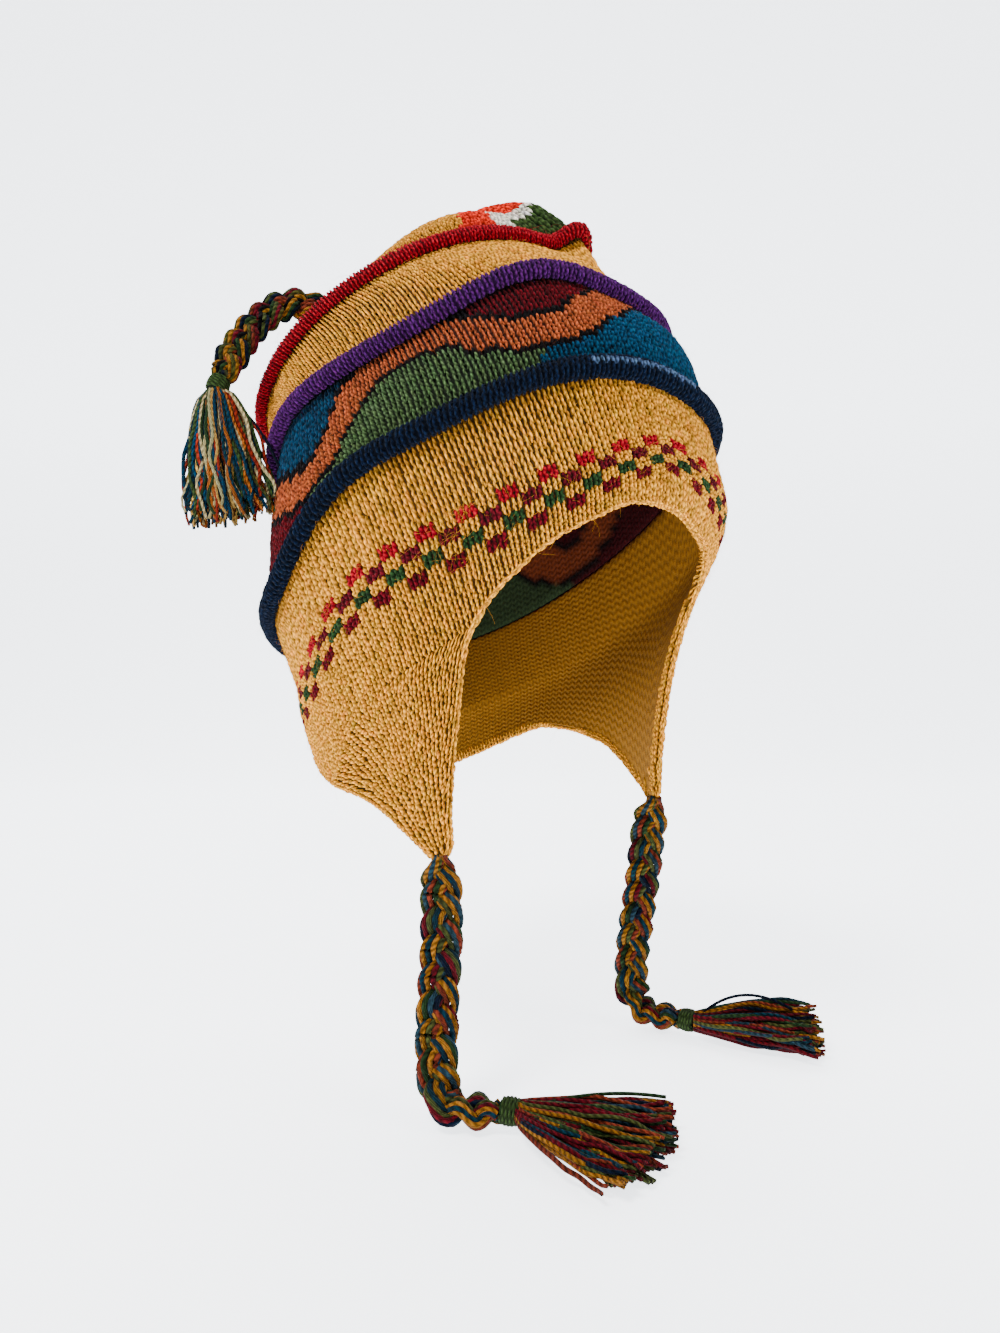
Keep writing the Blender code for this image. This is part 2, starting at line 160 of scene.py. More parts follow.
TOP = (
    (0.00, 0.00),
    (0.10, 0.50),
    (0.20, 0.85),
    (0.35, 1.00),
    (0.50, 0.95),
    (0.66, 0.70),
    (0.82, 0.36),
    (0.93, 0.11),
    (1.00, 0.00),
)

# The knitting. A stitch is a V of two legs.
WALES = 152
WALE = 0.0034
COURSE = 0.0024
LEAN = 170.0
FLAP_LEAN_ROWS = 29
YARN_STAND = 0.0006
YARN_SINK = 0.0010
EDGE_ROLL = WALL / 2
PLAIN_ABOVE_CHECK = 9
CHECK_COURSES = 8
CHECK_SHARE = 0.072
CHECK_FULLNESS = 1.36
CHAIN_STITCH = 0.0030
CHAIN_WIDTH = 0.0027
CHAIN_INSET = 0.0003
CHAIN_STAND = 0.0002
# Painted shade for what shows only between the stitches: the outer face of the inner fabric and the welts'
# rolls are darkened by this factor
GAP_PAINTED_SHADE = 0.22
# Painted shadow under the welts: the factors that darken the first, second and third course below a welt
WELT_SHADOW = (0.10, 0.50, 0.92)
WHIPPING_LENGTH = 0.0066
WHIPPING_RADIUS = 0.0044
FLAP_FRONT_START = 51.0
FLAP_BACK_START = 105.0
FLAP_TURNS = (48, 101)
WAVE_COURSES = 17
UPPER_COURSES = 13
TOP_COURSES = 34
ROLL_SIDES = 12
WELT_STITCH_COURSES = 6
WELT_STITCH_SWING = 230.0
WELT_STITCH_LOW = -0.0008
WELT_STITCH_HIGH = 0.0003
WELT_ROLL_SINK = 0.0007
BAND_INSET = 0.03
EDGE_STEP = 0.0004
EDGE_POINTS = 721
EDGE_OVERLAP = 240
ROUTE_PARTS = 16
# Painted shade and highlight on each leg: its colour is darkened where it sinks at its sides and ends, and
# brightened above the dye on its crest
LEG_PAINTED_SHADE = 0.05
LEG_PAINTED_HIGHLIGHT = 1.22
HAIR_LENGTH = 0.0040
HAIR_STAND = 0.0011
HAIR_RADIUS = 0.00003
HAIR_PALENESS = 0.9

# How deep the middle of the red checks lies below the navy welt, in metres by angle
CHECK_COLUMNS = ("angle", "depth")
CHECK_LINE = (
    (-180, 0.0270),
    (-140, 0.0290),
    (-100, 0.0310),
    (-70, 0.0310),
    (-45, 0.0312),
    (-28, 0.0284),
    (-4, 0.0206),
    (45, 0.0280),
    (100, 0.0310),
    (140, 0.0290),
    (180, 0.0270),
)

# The checks: which stitches of every four, and which courses from the top of the check
CHECK_REPEAT = 4
CHECK_PATCH_COLUMNS = ("dye", "first_stitch", "stitches", "first_course", "courses")
CHECK_PATCHES = (
    ("red", 0, 2, 0, 2),
    ("brown_red", 2, 2, 2, 2),
    ("dark_green", 0, 2, 4, 2),
    ("dark_red", 2, 2, 6, 2),
)

# The wave ribbon: the height of its middle as a share of the band, by angle
WAVE_COLUMNS = ("angle", "height")
WAVE = (
    (-180, 0.24),
    (-165, 0.52),
    (-150, 0.84),
    (-138, 0.80),
    (-126, 0.74),
    (-118, 0.64),
    (-112, 0.56),
    (-106, 0.49),
    (-100, 0.42),
    (-94, 0.35),
    (-88, 0.40),
    (-81, 0.66),
    (-71, 0.84),
    (-62, 0.86),
    (-53, 0.76),
    (-44, 0.55),
    (-33, 0.42),
    (-23, 0.50),
    (-10, 0.78),
    (-1, 0.99),
    (12, 0.95),
    (24, 0.60),
    (34, 0.30),
    (46, 0.38),
    (58, 0.72),
    (68, 0.86),
    (80, 0.70),
    (92, 0.36),
    (102, 0.22),
    (114, 0.42),
    (126, 0.74),
    (136, 0.86),
    (148, 0.66),
    (160, 0.38),
    (172, 0.24),
    (180, 0.24),
)
RIBBON_HALF_COURSES = 2.35
# Where the band is tall, the ribbon takes fewer of its courses
RIBBON_COLUMNS = ("angle", "share")
RIBBON_SHARES = (
    (-132, 1.0),
    (-118, 0.62),
    (-106, 0.64),
    (-96, 0.80),
    (-84, 1.0),
)

# The patches of colour above and below the ribbon: each one's first angle, and its dye
UPPER_FIELDS = ((-150, "blue"), (-62, "burgundy"), (-2, "green"), (68, "burgundy"), (136, "teal"))
LOWER_FIELDS = ((-95, "green"), (-34, "teal"), (34, "burgundy"), (102, "green"), (172, "burgundy"))

# The patches of the top: dye, first angle, last angle, and from how far in to how far in.
# The set comes three times round.
TOP_PATCHES = (
    ("orange_red", -32, -19, 0.00, 0.62),
    ("orange_red", -19, 0, 0.20, 0.62),
    ("white", -19, -10, 0.00, 0.20),
    ("white", -10, 2, 0.14, 0.21),
    ("wrap_green", -10, 14, 0.00, 0.14),
    ("wrap_green", 2, 14, 0.14, 0.20),
)
TOP_TURNS = (0, 125, -128)
TOP_LEAN = 54.0
# Painted shade: the whole crown top's stitches are darkened by this factor
TOP_PAINTED_SHADE = 0.76

DYES = {
    "gold": "#D79C37",
    "pale_gold": "#D8AE62",
    "cream": "#C9B98C",
    "navy": "#0A1B30",
    # Lighter blue for the painted highlight on the navy welt's front
    "painted_highlight_slate": "#4A5E7A",
    "near_black": "#140E10",
    "purple": "#501E5E",
    "welt_red": "#9C1028",
    "orange": "#A05632",
    "orange_red": "#E23A22",
    "white": "#E6E0D2",
    "green": "#506442",
    "wrap_green": "#445830",
    "dark_green": "#2E4628",
    "blue": "#103C54",
    "teal": "#0E4660",
    "burgundy": "#5C0818",
    "red": "#9A0826",
    "brown_red": "#601622",
    "dark_red": "#640E1E",
    "rust": "#86402C",
    "teal_navy": "#173E4C",
    "olive": "#5C5A2A",
    "brick": "#A23A22",
    "ochre": "#A07026",
    "wine": "#6C1626",
    "moss": "#525830",
    "dusty_blue": "#2E4854",
    "amber": "#B06A28",
}
# Wool in the mass is deeper than one lit strand of it
DYE_STRENGTH = 1.22
DYE_DEPTH = 0.80


def linear(hexed):
    parts = [int(hexed[at : at + 2], 16) / 255 for at in (1, 3, 5)]
    return [part / 12.92 if part <= 0.04045 else ((part + 0.055) / 1.055) ** 2.4 for part in parts]


DYE_NAMES = list(DYES)
DYE_COLOURS = np.array([linear(DYES[name]) for name in DYE_NAMES])
DYE_COLOURS = DYE_DEPTH * DYE_COLOURS**DYE_STRENGTH
DYE_INDEX = {name: index for index, name in enumerate(DYE_NAMES)}


def table(columns, rows):
    """The rows as dictionaries keyed by their column names."""
    return [dict(zip(columns, row)) for row in rows]


RING_ROWS = table(RING_COLUMNS, RINGS)
DENT_ROWS = table(DENT_COLUMNS, DENTS)
EDGE_ROWS = table(EDGE_COLUMNS, EDGE)
TOP_ROWS = table(TOP_COLUMNS, TOP)
CHECK_ROWS = table(CHECK_COLUMNS, CHECK_LINE)
WAVE_ROWS = table(WAVE_COLUMNS, WAVE)
RIBBON_ROWS = table(RIBBON_COLUMNS, RIBBON_SHARES)
CHECK_PATCH_ROWS = table(CHECK_PATCH_COLUMNS, CHECK_PATCHES)
RING_INDEX = {row["name"]: index for index, row in enumerate(RING_ROWS)}


# Shapes of the hat, worked out for whole arrays of places at once


def unit(vectors):
    return vectors / np.maximum(np.linalg.norm(vectors, axis=-1, keepdims=True), 1e-12)


def turned(angle):
    """The angle brought between -180 and 180."""
    return (angle + 180) % 360 - 180


def smooth_step(share):
    share = np.clip(share, 0, 1)
    return share * share * (3 - 2 * share)


def along_rows(rows, key, value, at):
    """value where key equals at, along a smooth curve through the rows."""
    keys = np.array([row[key] for row in rows], float)
    values = np.array([row[value] for row in rows], float)
    slopes = np.gradient(values)
    slopes[1:-1] = (values[2:] - values[:-2]) / (keys[2:] - keys[:-2])
    slopes[0] = (values[1] - values[0]) / (keys[1] - keys[0])
    slopes[-1] = (values[-1] - values[-2]) / (keys[-1] - keys[-2])
    index = np.clip(np.searchsorted(keys, at, side="left") - 1, 0, len(keys) - 2)
    span = keys[index + 1] - keys[index]
    share = np.clip((at - keys[index]) / span, 0, 1)
    square, cube = share**2, share**3
    return (
        values[index] * (2 * cube - 3 * square + 1)
        + slopes[index] * span * (cube - 2 * square + share)
        + values[index + 1] * (3 * square - 2 * cube)
        + slopes[index + 1] * span * (cube - square)
    )


def straight_rows(rows, key, value, at):
    """value where key equals at, along straight lines between the rows."""
    return np.interp(at, [row[key] for row in rows], [row[value] for row in rows])


def between(before, low, high, after, share):
    """The place at a share of the way from low to high, on a smooth curve through all four."""
    return 0.5 * (
        2 * low
        + (high - before) * share
        + (2 * before - 5 * low + 4 * high - after) * share**2
        + (3 * low - before - 3 * high + after) * share**3
    )


def ring_points(row, angle):
    """The wall's outer face on one ring."""
    turn = np.radians(angle)
    across, along = np.sin(turn), -np.cos(turn)
    power = 2 / SQUARENESS
    x = np.sign(across) * np.abs(across) ** power
    y = np.sign(along) * np.abs(along) ** power
    lift = np.zeros_like(turn)
    push = np.zeros_like(turn)
    for dent in DENT_ROWS:
        if dent["ring"] == row["name"]:
            share = np.exp(-((turned(angle - dent["angle"]) / dent["spread"]) ** 2))
            lift += dent["lift"] * share
            push += dent["push"] * share
    half_width = HALF_WIDTH * (row["half_width"] + push)
    half_length = HALF_LENGTH * (row["half_length"] + push)
    return np.stack(
        [
            half_width * x * (1 + BACK_FULLNESS * y),
            half_length * y + HALF_LENGTH * row["back"],
            CROWN_HEIGHT * (row["height"] + lift) - row["tilt"] * half_length * y,
        ],
        axis=-1,
    )


def upper_surface(angle, level):
    """The wall's outer face above the brow. level counts rings, from the brow at 0."""
    last = len(RING_ROWS) - 1
    index = np.clip(np.floor(level).astype(int), 0, last - 1)
    share = (level - index)[..., None]
    rings = np.stack([ring_points(row, angle) for row in RING_ROWS])
    near = []
    for step in (-1, 0, 1, 2):
        pick = np.clip(index + step, 0, last)[None, ..., None]
        near.append(np.take_along_axis(rings, np.broadcast_to(pick, (1, *rings.shape[1:])), 0)[0])
    return between(*near, share)


def lower_surface(turn, down):
    """The lower band's outer face, so many metres below the navy welt."""
    navy = ring_points(RING_ROWS[RING_INDEX["navy"]], turn)
    brow = ring_points(RING_ROWS[RING_INDEX["brow"]], turn)
    to_brow = np.maximum(navy[..., 2] - brow[..., 2], 1e-6)
    reach = np.minimum(down / to_brow, 1.0)
    below = np.maximum(down - to_brow, 0.0)
    leftness = (1 + np.sin(np.radians(turn))) / 2
    taper = RIGHT_FLAP_TAPER + (LEFT_FLAP_TAPER - RIGHT_FLAP_TAPER) * leftness
    narrow = 1 - taper / HALF_WIDTH * below**2 / (below**2 + TAPER_RUN**2)
    return np.stack(
        [
            (navy[..., 0] + (brow[..., 0] - navy[..., 0]) * reach) * narrow,
            (navy[..., 1] + (brow[..., 1] - navy[..., 1]) * reach) * narrow,
            navy[..., 2] - down,
        ],
        axis=-1,
    )


def smooth_route(route, step):
    """Points every step metres along a smooth curve through the route's own points."""
    route = [Vector(point) for point in route]
    last = len(route) - 1
    fine = []
    for index in range(last):
        near = [route[min(max(index + move, 0), last)] for move in (-1, 0, 1, 2)]
        fine.extend(between(*near, part / ROUTE_PARTS) for part in range(ROUTE_PARTS))
    fine.append(route[-1])
    fine = np.array(fine)
    run = np.concatenate([[0], np.cumsum(np.linalg.norm(np.diff(fine, axis=0), axis=1))])
    count = max(round(run[-1] / step), 2)
    wanted = np.linspace(0, run[-1], count + 1)
    return np.stack([np.interp(wanted, run, fine[:, axis]) for axis in range(3)], axis=1)


def crown_root():
    """(middle, way) of the collar that the crown braid is sewn to."""
    points = smooth_route(CROWN_BRAID_ROUTE, CROWN_BRAID_RADIUS * 2)
    return Vector(points[0]), (Vector(points[1]) - Vector(points[0])).normalized()


def top_surface(angle, reach):
    """The top's outer face. reach runs from 0 at the red welt to 1 at the collar."""
    rim = ring_points(RING_ROWS[RING_INDEX["red"]], angle)
    turn = np.radians(angle)
    middle, way = crown_root()
    onto_way = np.array(Vector((0, 0, 1)).rotation_difference(way).to_matrix())
    around = np.stack([np.sin(turn), -np.cos(turn), np.zeros_like(turn)], axis=-1)
    collar = np.array(middle - way * GAP) + COLLAR_RADIUS * around @ onto_way.T
    point = rim + (collar - rim) * reach[..., None]
    rise = TOP_RISE * along_rows(TOP_ROWS, "reach", "rise", reach)
    point[..., 2] += rise * ((1 + np.cos(np.radians(angle - RISE_TURN))) / 2) ** RISE_FOCUS
    return point


def face_of(surface, angle, place, step):
    """(point, outward normal, way round, way down) of a surface. step is towards the crown."""
    point = surface(angle, place)
    round_it = unit(surface(angle + 0.5, place) - surface(angle - 0.5, place))
    up_it = unit(surface(angle, place + step) - surface(angle, place - step))
    return point, unit(np.cross(round_it, up_it)), round_it, -up_it


# The lower band's edge, laid flat: across is metres round the navy welt, down is metres below


def round_run():
    """(angles, metres): how far round the hat at the brow each angle lies from the face."""
    fine = np.linspace(-540, 540, 2161)
    points = ring_points(RING_ROWS[RING_INDEX["brow"]], fine)
    points[:, 2] = 0
    steps = np.linalg.norm(np.diff(points, axis=0), axis=1)
    run = np.concatenate([[0], np.cumsum(steps)])
    run -= np.interp(0, fine, run)
    return fine, run


RUN_ANGLES, RUN_METRES = round_run()


def edge_of(start, side):
    """(turn, depth) on the lower edge, for the column that starts so far from the face."""
    turn = FACE_TURN + side * along_rows(EDGE_ROWS, "start", "end", start)
    drop = along_rows(EDGE_ROWS, "start", "drop", start)
    if side > 0:
        arch_start, arch_end = ARCH_END
        into_flap = smooth_step((start - arch_start) / (arch_end - arch_start))
        drop = drop * (LEFT_ARCH_SHARE + (LEFT_FLAP_SHARE - LEFT_ARCH_SHARE) * into_flap)
    return turn, BAND_DEPTH + (FLAP_LENGTH - BAND_DEPTH) * drop


def edge_line(step):
    """(places, inward normals) along the whole lower edge, laid flat, with even steps."""
    start = np.linspace(0, 180, EDGE_POINTS)
    right = edge_of(start, -1)
    left = edge_of(start, 1)
    turn = np.concatenate([right[0][::-1], left[0][1:]])
    depth = np.concatenate([right[1][::-1], left[1][1:]])
    last = len(turn) - 1
    tail, head = slice(last - EDGE_OVERLAP, last), slice(1, EDGE_OVERLAP + 1)
    turn = np.concatenate([turn[tail] - 360, turn, turn[head] + 360])
    depth = np.concatenate([depth[tail], depth, depth[head]])
    flat = np.stack([np.interp(turn, RUN_ANGLES, RUN_METRES), depth], axis=1)
    run = np.concatenate([[0], np.cumsum(np.linalg.norm(np.diff(flat, axis=0), axis=1))])
    wanted = np.arange(0, run[-1], step)
    places = np.stack([np.interp(wanted, run, flat[:, axis]) for axis in (0, 1)], axis=1)
    way = unit(np.gradient(places, axis=0))
    return places, np.stack([way[:, 1], -way[:, 0]], axis=1)


COARSE_EDGE = edge_line(0.003)
FINE_EDGE = edge_line(EDGE_STEP)


def nearest(flat, places):
    """The index of the nearest of the places to each flat point."""
    found = np.empty(len(flat), int)
    size = (places**2).sum(axis=1)
    for first in range(0, len(flat), 20000):
        part = flat[first : first + 20000]
        found[first : first + 20000] = np.argmin(size - 2 * part @ places.T, axis=1)
    return found


def inside_edge(turn, down):
    """(distance inside the edge, inward way) of each place, exact within a few millimetres."""
    flat = np.stack([np.interp(turn, RUN_ANGLES, RUN_METRES), down], axis=1)
    places, inward = COARSE_EDGE
    index = nearest(flat, places)
    inside = ((flat - places[index]) * inward[index]).sum(axis=1)
    way = inward[index]
    near = np.abs(inside) < 0.008
    places, inward = FINE_EDGE
    index = nearest(flat[near], places)
    inside[near] = ((flat[near] - places[index]) * inward[index]).sum(axis=1)
    way[near] = inward[index]
    return inside, way, flat


def knitted_face(turn, down, height):
    """Places that stand so high over the lower band, where its edge rolls round to the inside."""
    inside, inward, flat = inside_edge(turn, down)
    over = np.maximum(EDGE_ROLL - inside, 0)
    flat = flat + inward * over[:, None]
    turn = np.interp(flat[:, 0], RUN_METRES, RUN_ANGLES)
    point, normal, round_it, down_it = face_of(lower_surface, turn, flat[:, 1], -0.0005)
    outward = unit(-inward[:, :1] * round_it - inward[:, 1:] * down_it)
    swing = np.minimum(over / EDGE_ROLL, math.pi)[:, None]
    past = np.maximum(over - EDGE_ROLL * math.pi, 0)[:, None]
    facing = np.cos(swing) * normal + np.sin(swing) * outward
    middle = point - normal * EDGE_ROLL
    return middle + facing * (EDGE_ROLL + height[:, None]) - outward * past


# Building meshes


def finish_mesh(name, points, faces, materials):
    """A new object from arrays of points and equally sided faces, or a list of such arrays."""
    faces = np.concatenate(faces) if isinstance(faces, list) else faces
    mesh = bpy.data.meshes.new(name)
    mesh.vertices.add(len(points))
    mesh.vertices.foreach_set("co", np.asarray(points, np.float32).ravel())
    sides = faces.shape[1]
    mesh.loops.add(faces.size)
    mesh.loops.foreach_set("vertex_index", faces.astype(np.int32).ravel())
    mesh.polygons.add(len(faces))
    mesh.polygons.foreach_set("loop_start", np.arange(0, faces.size, sides, dtype=np.int32))
    mesh.polygons.foreach_set("use_smooth", np.full(len(faces), True))
    mesh.update(calc_edges=True)
    for finish in materials:
        mesh.materials.append(finish)
    thing = bpy.data.objects.new(name, mesh)
    bpy.context.scene.collection.objects.link(thing)
    return thing


def colour_mesh(thing, colours):
    """Gives each point its colour: the wool's dye, with any painted shade and highlight that the caller
    multiplied in.
    """
    # The dye attribute holds the dye with painted shade and highlight multiplied in
    layer = thing.data.attributes.new("dye", "FLOAT_COLOR", "POINT")
    full = np.concatenate([colours, np.ones((len(colours), 1))], axis=1)
    layer.data.foreach_set("color", full.astype(np.float32).ravel())


def strand_map(thing, across_along):
    """Gives each point its place on its yarn: share across, and turns of twist along."""
    layer = thing.data.uv_layers.new(name="strand")
    loops = np.empty(len(thing.data.loops), np.int32)
    thing.data.loops.foreach_get("vertex_index", loops)
    layer.data.foreach_set("uv", across_along[loops].astype(np.float32).ravel())


def dress(thing, slot, *nodes):
    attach(thing, "root")
    if nodes:
        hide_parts(*nodes)
    return thing


def shade_of(colours, rng, depth=0.10, warm=0.03):
    """Each stitch's own shade of its dye."""
    bright = 1 + rng.normal(0, depth, (len(colours), 1))
    tint = 1 + rng.normal(0, warm, (len(colours), 3))
    return np.clip(colours * np.clip(bright, 0.55, 1.5) * tint, 0, 1)


def stitch_leg():
    """One leg of a stitch as (across, up, height) shares, modelled once from a grid."""
    bpy.ops.object.select_all(action="DESELECT")
    bpy.ops.mesh.primitive_grid_add(x_subdivisions=3, y_subdivisions=3, size=2)
    pattern = bpy.context.object
    grid = np.array([vert.co for vert in pattern.data.vertices])
    faces = np.array([list(face.vertices) for face in pattern.data.polygons])
    bpy.data.objects.remove(pattern)
    across, along = grid[:, 0], (grid[:, 1] + 1) / 2
    middle = np.interp(along, (0, 0.34, 0.67, 1), (0.09, 0.22, 0.27, 0.26))
    width = np.interp(along, (0, 0.34, 0.67, 1), (0.12, 0.185, 0.195, 0.13))
    lift = np.interp(along, (0, 0.34, 0.67, 1), (0.58, 0.97, 1.0, 0.55))
    up = -0.26 + 1.42 * along
    height = lift * (1 - across**2) ** 0.5
    return middle, width * across, up, height, (across + 1) / 2, along, faces


LEG = stitch_leg()


def lay_stitches(name, place, dyes, finish, slot, node, rng, full=1.0, shadow=1.0):
    """Lays a V of two legs on each stitch. place(which, across, up, height) gives its points."""
    leg_middle, leg_across, leg_up, leg_height, share, along, leg_faces = LEG
    count = len(dyes)
    parts = []
    for side in (-1, 1):
        wide = rng.normal(1, 0.10, (count, 1)) * np.reshape(full, (-1, 1))
        across = side * (leg_middle + wide * leg_across) + rng.normal(0, 0.03, (count, 1))
        up = leg_up[None, :] + rng.normal(0, 0.075, (count, 1))
        swell = 1 + rng.normal(0, 0.10, (count, 1))
        height = -YARN_SINK + (YARN_SINK + YARN_STAND) * np.clip(leg_height[None, :] * swell, 0, 1.08)
        which = np.repeat(np.arange(count), len(leg_up))
        points = place(which, across.ravel(), up.ravel(), height.ravel())
        faces = leg_faces if side > 0 else leg_faces[:, ::-1]
        parts.append((points, faces))
    size = len(leg_up)
    points = np.concatenate([part[0] for part in parts])
    faces = np.concatenate(
        [
            (np.arange(count)[:, None, None] * size + part[1][None]).reshape(-1, 4) + offset
            for part, offset in zip(parts, (0, count * size))
        ]
    )
    thing = finish_mesh(name, points, faces, [finish])
    # Painted shade at each leg's sides and ends, where it meets its neighbours, and painted highlight on
    # its crest, by the leg's height
    depth = np.tile(LEG_PAINTED_SHADE + (LEG_PAINTED_HIGHLIGHT - LEG_PAINTED_SHADE) * leg_height, count * 2)[:, None]
    # Painted shadow: each stitch's dye darkened by the shadow factor, under the welts and over the whole
    # crown top
    shadowed_dye = DYE_COLOURS[dyes] * np.reshape(shadow, (-1, 1))
    colours = [shade_of(shadowed_dye, rng, 0.16, 0.04) for _ in range(2)]
    colour_mesh(thing, np.repeat(np.concatenate(colours), size, axis=0) * depth)
    start = rng.uniform(0, 1, (count * 2, 1))
    where = np.stack(
        [np.tile(share, count * 2), (start + along[None, :] * 0.9).ravel()], axis=1
    )
    strand_map(thing, where)
    return dress(thing, slot, node)


def strip(low, high, columns):
    """Faces between two closed rows of points, which start at low and at high."""
    around = np.arange(columns)
    after = (around + 1) % columns
    return np.stack([low + around, low + after, high + after, high + around], axis=1)


def wall_between(name, outer, inner, finish, slot, node, dyes, closed_end=False):
    """A closed shell from two grids of points, rows by columns, that run once round."""
    rows, columns = outer.shape[:2]
    loop = np.concatenate([outer, inner[::-1]])
    count = len(loop)
    points = loop.reshape(-1, 3)
    faces = np.concatenate(
        [
            strip(row * columns, (row + 1) % count * columns, columns)
            for row in range(count)
            if not (closed_end and row == rows - 1)
        ]
    )
    thing = finish_mesh(name, points, faces[:, ::-1], [finish])
    if closed_end:
        close_ring(thing, (rows - 1) * columns, columns, flip=True)
        close_ring(thing, rows * columns, columns, flip=False)
    shade = DYE_COLOURS[np.concatenate([dyes, dyes[::-1]]).ravel()]
    # Painted shade: the outer face, seen only between the stitches, is darkened
    shade[: rows * columns] *= GAP_PAINTED_SHADE
    spare = len(thing.data.vertices) - len(shade)
    colour_mesh(thing, np.concatenate([shade, np.tile(shade[-1], (spare, 1))]))
    across = np.tile(np.arange(columns) * WALES / columns, count)
    runs = np.linalg.norm(np.diff(inner, axis=0), axis=2).mean(axis=1)
    run = np.concatenate([[0], np.cumsum(runs)]) / COURSE
    along = np.repeat(np.concatenate([run, run[::-1]]), columns)
    places = np.stack([across, along], axis=1)
    strand_map(thing, np.concatenate([places, np.zeros((spare, 2))]))
    return dress(thing, slot, node)


def close_ring(thing, first, count, flip):
    """Closes one ring of points with a fan."""
    shape = bmesh.new()
    shape.from_mesh(thing.data)
    shape.verts.ensure_lookup_table()
    ring = [shape.verts[first + index] for index in range(count)]
    middle = shape.verts.new(sum((vert.co for vert in ring), Vector()) / count)
    for index in range(count):
        corners = (ring[index], ring[(index + 1) % count], middle)
        face = shape.faces.new(corners[::-1] if flip else corners)
        face.smooth = True
    shape.to_mesh(thing.data)
    shape.free()


def tubes(routes, radii, sides):
    """(points, faces, across, along, run) of closed tubes along routes of equal counts."""
    routes = np.asarray(routes, float)
    count, rows = routes.shape[:2]
    way = unit(np.gradient(routes, axis=1))
    helper = np.where(np.abs(way[..., 2:]) < 0.9, [0.0, 0.0, 1.0], [1.0, 0.0, 0.0])
    across = unit(np.cross(way, np.broadcast_to(helper[:, :1], way.shape)))
    upward = np.cross(across, way)
    turn = np.linspace(0, 2 * math.pi, sides, endpoint=False)
    radii = np.broadcast_to(np.asarray(radii, float), (count, rows))[..., None, None]
    ring = np.cos(turn)[:, None] * across[:, :, None] + np.sin(turn)[:, None] * upward[:, :, None]
    points = (routes[:, :, None] + radii * ring).reshape(-1, 3)
    per = rows * sides
    row = np.arange(rows - 1)[:, None] * sides
    place = np.arange(sides)[None, :]
    after = (place + 1) % sides
    quads = np.stack(
        [row + place, row + sides + place, row + sides + after, row + after], axis=-1
    ).reshape(-1, 4)
    faces = (np.arange(count)[:, None, None] * per + quads[None]).reshape(-1, 4)
    caps = []
    for first in (0, rows - 1):
        base = np.arange(count) * per + first * sides
        for step in range(1, sides - 2, 2):
            corners = [base, base + step, base + step + 1, base + step + 2]
            caps.append(np.stack(corners if first else corners[::-1], axis=1))
    steps = np.linalg.norm(np.diff(routes, axis=1), axis=2)
    run = np.concatenate([np.zeros((count, 1)), np.cumsum(steps, axis=1)], axis=1)
    share = np.broadcast_to(turn / (2 * math.pi), (count, rows, sides)).ravel()
    along = np.broadcast_to(run[:, :, None], (count, rows, sides)).ravel()
    return points, np.concatenate([faces, *caps]), share, along, per


def yarns(name, routes, radii, colours, finish, slot, sides, twist, rng, hairs):
    """Plied yarns along routes of equal counts, with short loose hairs, as one mesh."""
    routes = np.asarray(routes, float)
    points, faces, share, along, per = tubes(routes, radii, sides)
    which = rng.integers(len(routes), size=hairs)
    row = rng.integers(1, routes.shape[1] - 1, size=hairs)
    way = unit(routes[which, row + 1] - routes[which, row - 1])
    lean = unit(rng.normal(0, 1, (hairs, 3)) + way * rng.choice((-1, 1), (hairs, 1)))
    curl = unit(np.cross(lean, way + rng.normal(0, 0.4, (hairs, 3))))
    reach = HAIR_LENGTH * rng.uniform(0.25, 0.60, (hairs, 1))
    out = np.linspace(0, 1, 4)
    loose = (
        routes[which, row][:, None]
        + lean[:, None] * (reach * out)[..., None]
        + curl[:, None] * (0.4 * reach * out**2)[..., None]
    )
    loose[..., 2] = np.maximum(loose[..., 2], HAIR_RADIUS - TABLE_DROP)
    hair = tubes(loose, HAIR_RADIUS * (1 - 0.5 * out), 4)
    thing = finish_mesh(name, np.concatenate([points, hair[0]]), [faces, hair[1] + len(points)], [finish])
    colours = np.repeat(colours, per, axis=0), np.repeat(colours[which] * HAIR_PALENESS, hair[4], axis=0)
    colour_mesh(thing, np.concatenate(colours))
    places = np.stack([share * 2, along / twist], axis=1), np.stack([hair[2], hair[3] / twist], axis=1)
    strand_map(thing, np.concatenate(places))
    return dress(thing, slot)


# Finishes


class Socket:
    """A shader socket with arithmetic."""

    def __init__(self, shader, socket):
        self.shader = shader
        self.socket = socket

    def maths(self, operation, *values):
        settings = {"operation": operation}
        return self.shader.node("ShaderNodeMath", settings, dict(enumerate(values)))[0]

    def __add__(self, other):
        return self.maths("ADD", self, other)

    def __radd__(self, other):
        return self.maths("ADD", other, self)

    def __sub__(self, other):
        return self.maths("SUBTRACT", self, other)

    def __rsub__(self, other):
        return self.maths("SUBTRACT", other, self)

    def __mul__(self, other):
        return self.maths("MULTIPLY", self, other)

    def __rmul__(self, other):
        return self.maths("MULTIPLY", other, self)

    def sine(self):
        return self.maths("SINE", self)


